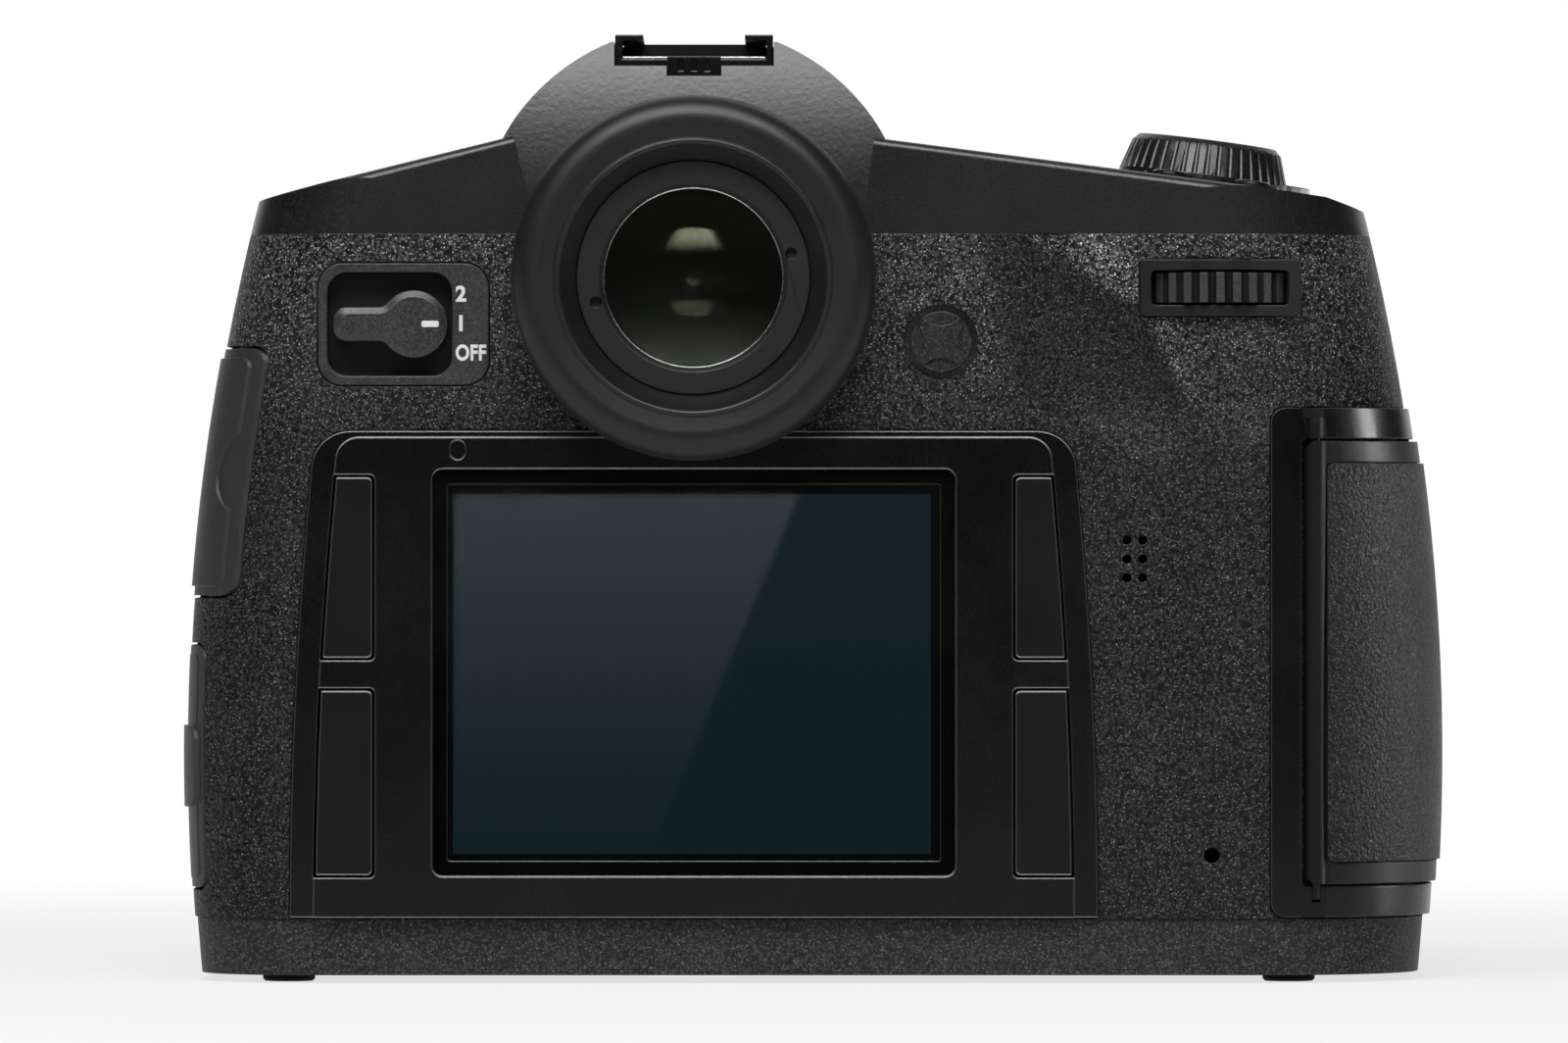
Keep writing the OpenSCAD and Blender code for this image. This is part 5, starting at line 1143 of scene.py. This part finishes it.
    def build(self) -> None:
        """Dresses the plate and builds the lever and its marks."""
        self.dress(SPECKLED, "mode_plate", round_to=0.25 * MM)
        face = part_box("mode_plate")[0].y
        self.paint(RECESS_BLACK, "mode_plate", lambda middle: middle.y > face + self.recess_start)
        self.lever()
        self.labels()


@dataclass
class Joystick(SubAssembly):
    """The thumb joystick and its gimbal."""

    def build(self) -> None:
        """Dresses the cap and what carries it."""
        self.dress(STICK_RUBBER, "joystick_cap", round_to=0.12 * MM)
        self.dress(RECESS_BLACK, "joystick_carrier")
        self.dress(STEEL, "joystick_gimbal")


@dataclass
class Thumbwheel(SubAssembly):
    """The thumbwheel in its frame."""

    groove_depth: float = 0.2 * MM

    def build(self) -> None:
        """Dresses the wheel with painted shade in its grooves, its frame and its axle."""
        low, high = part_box("thumbwheel")
        centre = (low + high) / 2
        radius = (high.x - low.x) / 2 - self.groove_depth
        self.dress(FRAME_BLACK, "thumbwheel_frame", round_to=0.15 * MM)
        self.dress(WHEEL_RUBBER, "thumbwheel")
        # painted shade: the faces below the ribs' tips are painted dark
        self.paint(GROOVE_SHADE, "thumbwheel", lambda middle: (middle - centre).xy.length < radius)
        self.dress(STEEL, "thumbwheel_axle")


@dataclass
class Eyepiece(SubAssembly):
    """The eyecup, its lens and the barrel."""

    edge_radius: float = 11.38 * MM
    edge_depth: float = 0.62 * MM
    edge_thickness: float = 0.07 * MM

    def build(self) -> None:
        """Dresses the eyepiece and adds the bright edge of its ring."""
        self.dress(EYE_RUBBER, "eyecup", round_to=0.45 * MM, angle=18.0)
        self.dress(MATT_BLACK, "eyepiece_barrel")
        self.dress(RING_BLACK, "eyepiece_ring", round_to=0.12 * MM)
        self.dress(COATED_GLASS, "eyepiece_lens")
        low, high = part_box("eyepiece_ring")
        centre = Vector((0.0, low.y + self.edge_depth, (low.z + high.z) / 2))
        edge = ring(self.edge_radius, self.edge_thickness, centre)
        self.add("eyepiece_ring_edge", edge, STEEL, "eyepiece", "black_plastic")


@dataclass
class HotShoe(SubAssembly):
    """The accessory shoe on the hump."""

    tab_half_width: float = 3.7 * MM
    stop_half_width: float = 9.2 * MM
    stop_thickness: float = 0.8 * MM
    stop_drop: float = 0.6 * MM

    def stop(self) -> None:
        """Builds the dark stop at the shoe's front end."""
        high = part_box("hot_shoe_rail")[1]
        top = high.z - self.stop_drop
        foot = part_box("hot_shoe_spring")[1].z
        corners = ((-1, foot), (1, foot), (1, top), (-1, top))
        rings = [[Vector((side * self.stop_half_width, y, z)) for side, z in corners]
                 for y in (high.y - self.stop_thickness, high.y)]
        self.add("hot_shoe_stop", loft(rings), MATT_BLACK, "camera", "black_plastic")

    def build(self) -> None:
        """Dresses the rail, the spring with its blackened tab, and the contacts, and adds the stop."""
        self.dress(SHOE_BLACK, "hot_shoe_rail", round_to=0.15 * MM)
        self.dress(SPRING_STEEL, "hot_shoe_spring", round_to=0.06 * MM)
        self.paint(TAB_BLACK, "hot_shoe_spring", lambda middle: abs(middle.x) < self.tab_half_width)
        self.dress(SATIN_BLACK, "hot_shoe_contacts")
        self.stop()


@dataclass
class TopControls(SubAssembly):
    """Dial, buttons and the small display on the top cover."""

    def build(self) -> None:
        """Dresses the controls."""
        self.dress(SATIN_COVER, "speed_dial", round_to=0.12 * MM)
        self.dress(SATIN_BLACK, "top_button_left", "top_button_right", round_to=0.15 * MM)
        self.dress(STEEL, "shutter_button", round_to=0.2 * MM)
        self.dress(GLOSS_BLACK, "top_display")


@dataclass
class CardDoor(SubAssembly):
    """The card door with its frame, pad and sockets."""

    hinge_width: float = 2.9 * MM
    hinge_reach: float = 3.2 * MM
    hinge_gap: float = 0.3 * MM

    def build(self) -> None:
        """Dresses the door with its dull hinge, and what is round it."""
        self.dress(SATIN_BLACK, "card_door_frame", round_to=0.3 * MM)
        self.dress(DOOR_BLACK, "card_door", round_to=0.25 * MM)
        low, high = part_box("card_door")
        inner = low.x + self.hinge_width

        def at_hinge(middle: Vector) -> bool:
            """Tells whether a place on the frame is at an end of the hinge."""
            near_end = min(abs(middle.z - low.z), abs(middle.z - high.z)) < self.hinge_reach
            return near_end and low.x - self.hinge_gap < middle.x < inner

        self.paint(HINGE_BLACK, "card_door", lambda middle: middle.x < inner)
        self.paint(HINGE_BLACK, "card_door_frame", at_hinge)
        self.dress(GRIP_RUBBER, "card_door_pad", round_to=0.2 * MM)
        self.dress(SATIN_BLACK, "card_sockets")


@dataclass
class PortFlaps(SubAssembly):
    """The rubber flaps on the left and the sockets behind them."""

    def build(self) -> None:
        """Dresses the flaps."""
        self.dress(FLAP_RUBBER, "upper_port_flap", "lower_port_flap", round_to=0.3 * MM)
        self.dress(SATIN_BLACK, "port_sockets")


@dataclass
class LensMount(SubAssembly):
    """The lens mount with its contacts and its release button."""

    def build(self) -> None:
        """Dresses the mount."""
        self.dress(TURNED_STEEL, "lens_mount_ring", round_to=0.15 * MM)
        self.dress(GILT, "lens_contacts")
        self.dress(SATIN_BLACK, "lens_release", round_to=0.25 * MM)


@dataclass
class Works(SubAssembly):
    """What is inside: mirror, viewfinder, shutter, sensor, board and battery."""

    def build(self) -> None:
        """Dresses the works."""
        self.dress(MATT_BLACK, "mirror_box", "shutter_frame")
        self.dress(SILVERED, "reflex_mirror")
        self.dress(CLEAR_GLASS, "focusing_screen")
        self.dress(PRISM_LACQUER, "pentaprism")
        self.dress(BLACK_STEEL, "shutter_blade_upper", "shutter_blade_lower")
        self.dress(SILICON, "image_sensor")
        self.dress(BOARD_GREEN, "main_board")
        self.dress(SATIN_BLACK, "battery_chamber", "battery", "battery_latch")


@dataclass
class Softbox:
    """A lamp with a soft rectangular face."""

    name: str
    place: Place
    size: Span
    watts: float
    mirrored: bool = True

    def build(self, target: Vector) -> None:
        """Places the lamp and turns it to a point.

        Args:
            target: The point that it lights.
        """
        lamp = bpy.data.lights.new(self.name, "AREA")
        lamp.shape = "RECTANGLE"
        lamp.size, lamp.size_y = self.size
        lamp.energy = self.watts
        holder = bpy.data.objects.new(self.name, lamp)
        holder.location = self.place
        holder.rotation_euler = (target - Vector(self.place)).to_track_quat("-Z", "Y").to_euler()
        holder.visible_glossy = self.mirrored
        holder.visible_transmission = False
        bpy.context.scene.collection.objects.link(holder)


@dataclass
class Card:
    """A glowing sheet that lights nothing and shows only in reflections."""

    name: str
    place: Place
    size: Span
    strength: float
    rise: float = 0.3
    soft: float = 0.3
    taper: float = 0.0

    def material(self) -> bpy.types.Material:
        """Gives the sheet's glow: soft at the sides, growing from the lower edge.

        Returns:
            The finished material.
        """
        made, w = blank_material(self.name)
        parts = w.parts()
        up = w.math("ADD", w.math("DIVIDE", parts["Y"], self.size[1]), 0.5)
        across = w.product(w.math("ABSOLUTE", parts["X"]), 2 / self.size[0])
        spread = w.math("ADD", across, w.product(up, self.taper))
        glow = w.product(w.ramp(up, 0.0, self.rise), w.ramp(spread, 1.0 - self.soft, 1.0, 1.0, 0.0))
        strength = w.product(glow, self.strength, w.direct())
        shine = w.add("ShaderNodeEmission", {"Color": WHITE, "Strength": strength})
        w.show(shine.outputs["Emission"])
        return made

    def build(self, target: Vector) -> None:
        """Hangs the sheet and turns it to a point.

        Args:
            target: The point that it faces.
        """
        half = Vector(self.size) / 2
        corners = [(half.x * x, half.y * y, 0.0) for x, y in ((-1, -1), (1, -1), (1, 1), (-1, 1))]
        hung = hang(self.name, corners, self.material())
        hung.location = self.place
        hung.rotation_euler = (target - Vector(self.place)).to_track_quat("Z", "Y").to_euler()


@dataclass
class Studio:
    """Camera, lamps, floor and backdrop."""

    nodes: dict[str, bpy.types.Object]
    image_width: int = 1600
    image_height: int = 1064
    pixels_per_mm: float = 8.0
    lens_axis_pixel: float = 708.0
    base_line_pixel: float = 995.0
    rear_wall: float = -24 * MM
    camera_distance: float = 1.6
    sensor_width: float = 36.0
    clip: Span = (0.05, 30.0)
    world_strength: float = 0.12
    room_fade: Span = (-0.75, 0.0)
    room_rest: float = 0.03
    aside_fade: Span = (0.45, 0.7)
    aside_rest: float = 0.05
    floor_radius: float = 4.0
    floor_sides: int = 96
    floor_fade: Span = (0.12, 0.5)
    floor_glow: float = 0.72
    table_fade: Span = (-0.45, -0.25)
    paper_scale: float = 60.0
    glare_distance: float = 0.5
    glare_fade: Span = (-0.01, 0.085)
    glare_power: float = 1.4
    glare_strength: float = 0.9
    glare_outline: tuple[Point, ...] = (
        (0.0139, 0.0623), (-0.0109, 0.0024), (-0.0436, 0.0024), (-0.0436, 0.0623),
    )
    lamps: tuple[Softbox, ...] = (
        Softbox("front_softbox", (0.0, -1.18, 0.41), (0.62, 0.2), 1.0, mirrored=False),
        Softbox("top_softbox", (-0.1, -0.6, 0.95), (0.9, 0.5), 8.0),
        Softbox("right_strip", (1.0, -0.38, 0.15), (0.25, 0.9), 2.2, mirrored=False),
        Softbox("left_strip", (-1.0, -0.3, 0.2), (0.35, 0.9), 1.8, mirrored=False),
    )
    sheets: tuple[Card, ...] = (
        Card("eye_sheet", (0.0, -1.18, 0.41), (0.62, 0.2), 80.0, rise=1.0, soft=0.4, taper=0.45),
        Card("top_sheet", (0.0, -0.85, 0.72), (1.0, 0.46), 10.5, rise=0.6),
        Card("right_sheet", (0.97, 0.0, 0.1), (0.3, 0.9), 16.0, soft=0.6),
    )
    shaded: tuple[str, ...] = ("eyepiece_lens",)
    aimed: tuple[tuple[str, tuple[str, ...]], ...] = (
        ("eye_sheet", ("eyepiece_lens",)),
        ("right_sheet", ("card_door_frame", "card_door", "card_door_pad")),
    )

    def camera(self) -> None:
        """Places the camera straight behind, with the photograph's framing."""
        per_pixel = MM / self.pixels_per_mm
        middle_x = (self.image_width / 2 - self.lens_axis_pixel) * per_pixel
        middle_z = (self.base_line_pixel - self.image_height / 2) * per_pixel
        data = bpy.data.cameras.new("camera_view")
        data.sensor_width = self.sensor_width
        data.lens = self.sensor_width * self.camera_distance / (self.image_width * per_pixel)
        data.clip_start, data.clip_end = self.clip
        holder = bpy.data.objects.new("camera_view", data)
        holder.location = (middle_x, self.rear_wall - self.camera_distance, middle_z)
        holder.rotation_euler = (math.radians(90), 0.0, 0.0)
        bpy.context.scene.collection.objects.link(holder)
        bpy.context.scene.camera = holder

    @staticmethod
    def seen(w: Wiring) -> Socket:
        """Gives 1 where the background is looked at, directly or in metal or glass."""
        return w.math("MAXIMUM", w.add("ShaderNodeLightPath").outputs["Is Camera Ray"], w.mirrored())

    def backdrop(self) -> None:
        """Sets a world that lights softly and is looked at as plain white."""
        world = bpy.data.worlds.new("studio_world")
        bpy.context.scene.world = world
        world.use_nodes = True
        world.node_tree.nodes.clear()
        w = Wiring(world.node_tree)
        way = w.add("ShaderNodeTexCoord").outputs["Generated"]
        behind_viewer = w.vector("DOT_PRODUCT", way, (0.0, -1.0, 0.0))
        aside = w.math("ABSOLUTE", w.vector("DOT_PRODUCT", way, (1.0, 0.0, 0.0)))
        room = w.product(w.ramp(behind_viewer, *self.room_fade, 1.0, self.room_rest),
                         w.ramp(aside, *self.aside_fade, 1.0, self.aside_rest))
        looked_at = w.add("ShaderNodeLightPath").outputs["Is Camera Ray"]
        strength = w.math("ADD", w.product(w.mirrored(), w.direct(), room), looked_at, clamp=True)
        dim = w.product(w.math("SUBTRACT", 1.0, self.seen(w)), self.world_strength)
        light = w.add("ShaderNodeBackground", {"Color": WHITE, "Strength": w.math("ADD", strength, dim)})
        w.add("ShaderNodeOutputWorld", {"Surface": light.outputs["Background"]})

    def floor(self) -> None:
        """Lays the pale floor under the feet, which fades into the white backdrop."""
        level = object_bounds()[0].z
        mesh = bmesh.new()
        bmesh.ops.create_circle(mesh, cap_ends=True, segments=self.floor_sides, radius=self.floor_radius)
        bmesh.ops.translate(mesh, verts=mesh.verts, vec=(0.0, 0.0, level))
        made, w = blank_material("floor")
        place = w.place()
        fade = w.ramp(w.vector("LENGTH", place), *self.floor_fade, self.floor_glow, 1.0)
        share = w.product(fade, self.seen(w))
        table = w.ramp(w.parts()["Y"], *self.table_fade)
        kept = w.math("SUBTRACT", 1.0, w.product(w.mirrored(), w.math("SUBTRACT", 1.0, table)))
        sheet = w.mix(w.noise(place, self.paper_scale)["Fac"], shade(243), shade(247))
        paper = w.add("ShaderNodeBsdfDiffuse", {"Color": w.mix(kept, shade(6), sheet)})
        white = w.add("ShaderNodeEmission", {"Color": WHITE, "Strength": kept})
        both = w.add("ShaderNodeMixShader", {"Fac": share})
        w.feed(both.inputs[1], paper.outputs["BSDF"])
        w.feed(both.inputs[2], white.outputs["Emission"])
        w.show(both.outputs["Shader"])
        floor = set_out("floor", mesh, made)
        floor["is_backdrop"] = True

    def glare(self) -> None:
        """Hangs a slanted card that only mirrors, for the band of light across the display."""
        glare, w = blank_material("glare_card")
        rise = w.math("POWER", w.ramp(w.parts()["Z"], *self.glare_fade), self.glare_power)
        strength = w.product(rise, self.glare_strength)
        shine = w.add("ShaderNodeEmission", {"Color": WHITE, "Strength": strength})
        w.show(shine.outputs["Emission"])
        depth = self.rear_wall - self.glare_distance
        hang("glare_card", [(x, depth, z) for x, z in self.glare_outline], glare)

    def flag(self) -> None:
        """Keeps the aimed lights to their pieces, and the others off the shaded ones."""
        aimed = dict(self.aimed)
        for light in (*self.lamps, *self.sheets):
            group = bpy.data.collections.new(f"{light.name}_pieces")
            for name in aimed.get(light.name, self.shaded):
                group.objects.link(self.nodes[name])
            if light.name not in aimed:
                for entry in group.collection_objects:
                    entry.light_linking.link_state = "EXCLUDE"
            bpy.data.objects[light.name].light_linking.receiver_collection = group

    def build(self) -> None:
        """Sets up the studio."""
        bpy.context.scene.view_settings.view_transform = "Standard"
        self.camera()
        self.backdrop()
        self.floor()
        self.glare()
        target = sum(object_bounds(), Vector()) / 2
        for light in (*self.lamps, *self.sheets):
            light.build(target)
        self.flag()


def main() -> None:
    """Loads the frame, builds every sub-assembly and sets up the studio."""
    logging.basicConfig(level=logging.INFO, format="%(name)s: %(message)s")
    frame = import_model()
    kinds = (Shell, DisplayBack, ModeSwitch, Joystick, Thumbwheel, Eyepiece, HotShoe, TopControls, CardDoor,
             PortFlaps, LensMount, Works)
    for kind in kinds:
        part = kind(frame["nodes"])
        part.build()
        LOG.info("%s: %s", kind.__name__, ", ".join(part.made))
    Studio(frame["nodes"]).build()


if __name__ == "__main__":
    main()
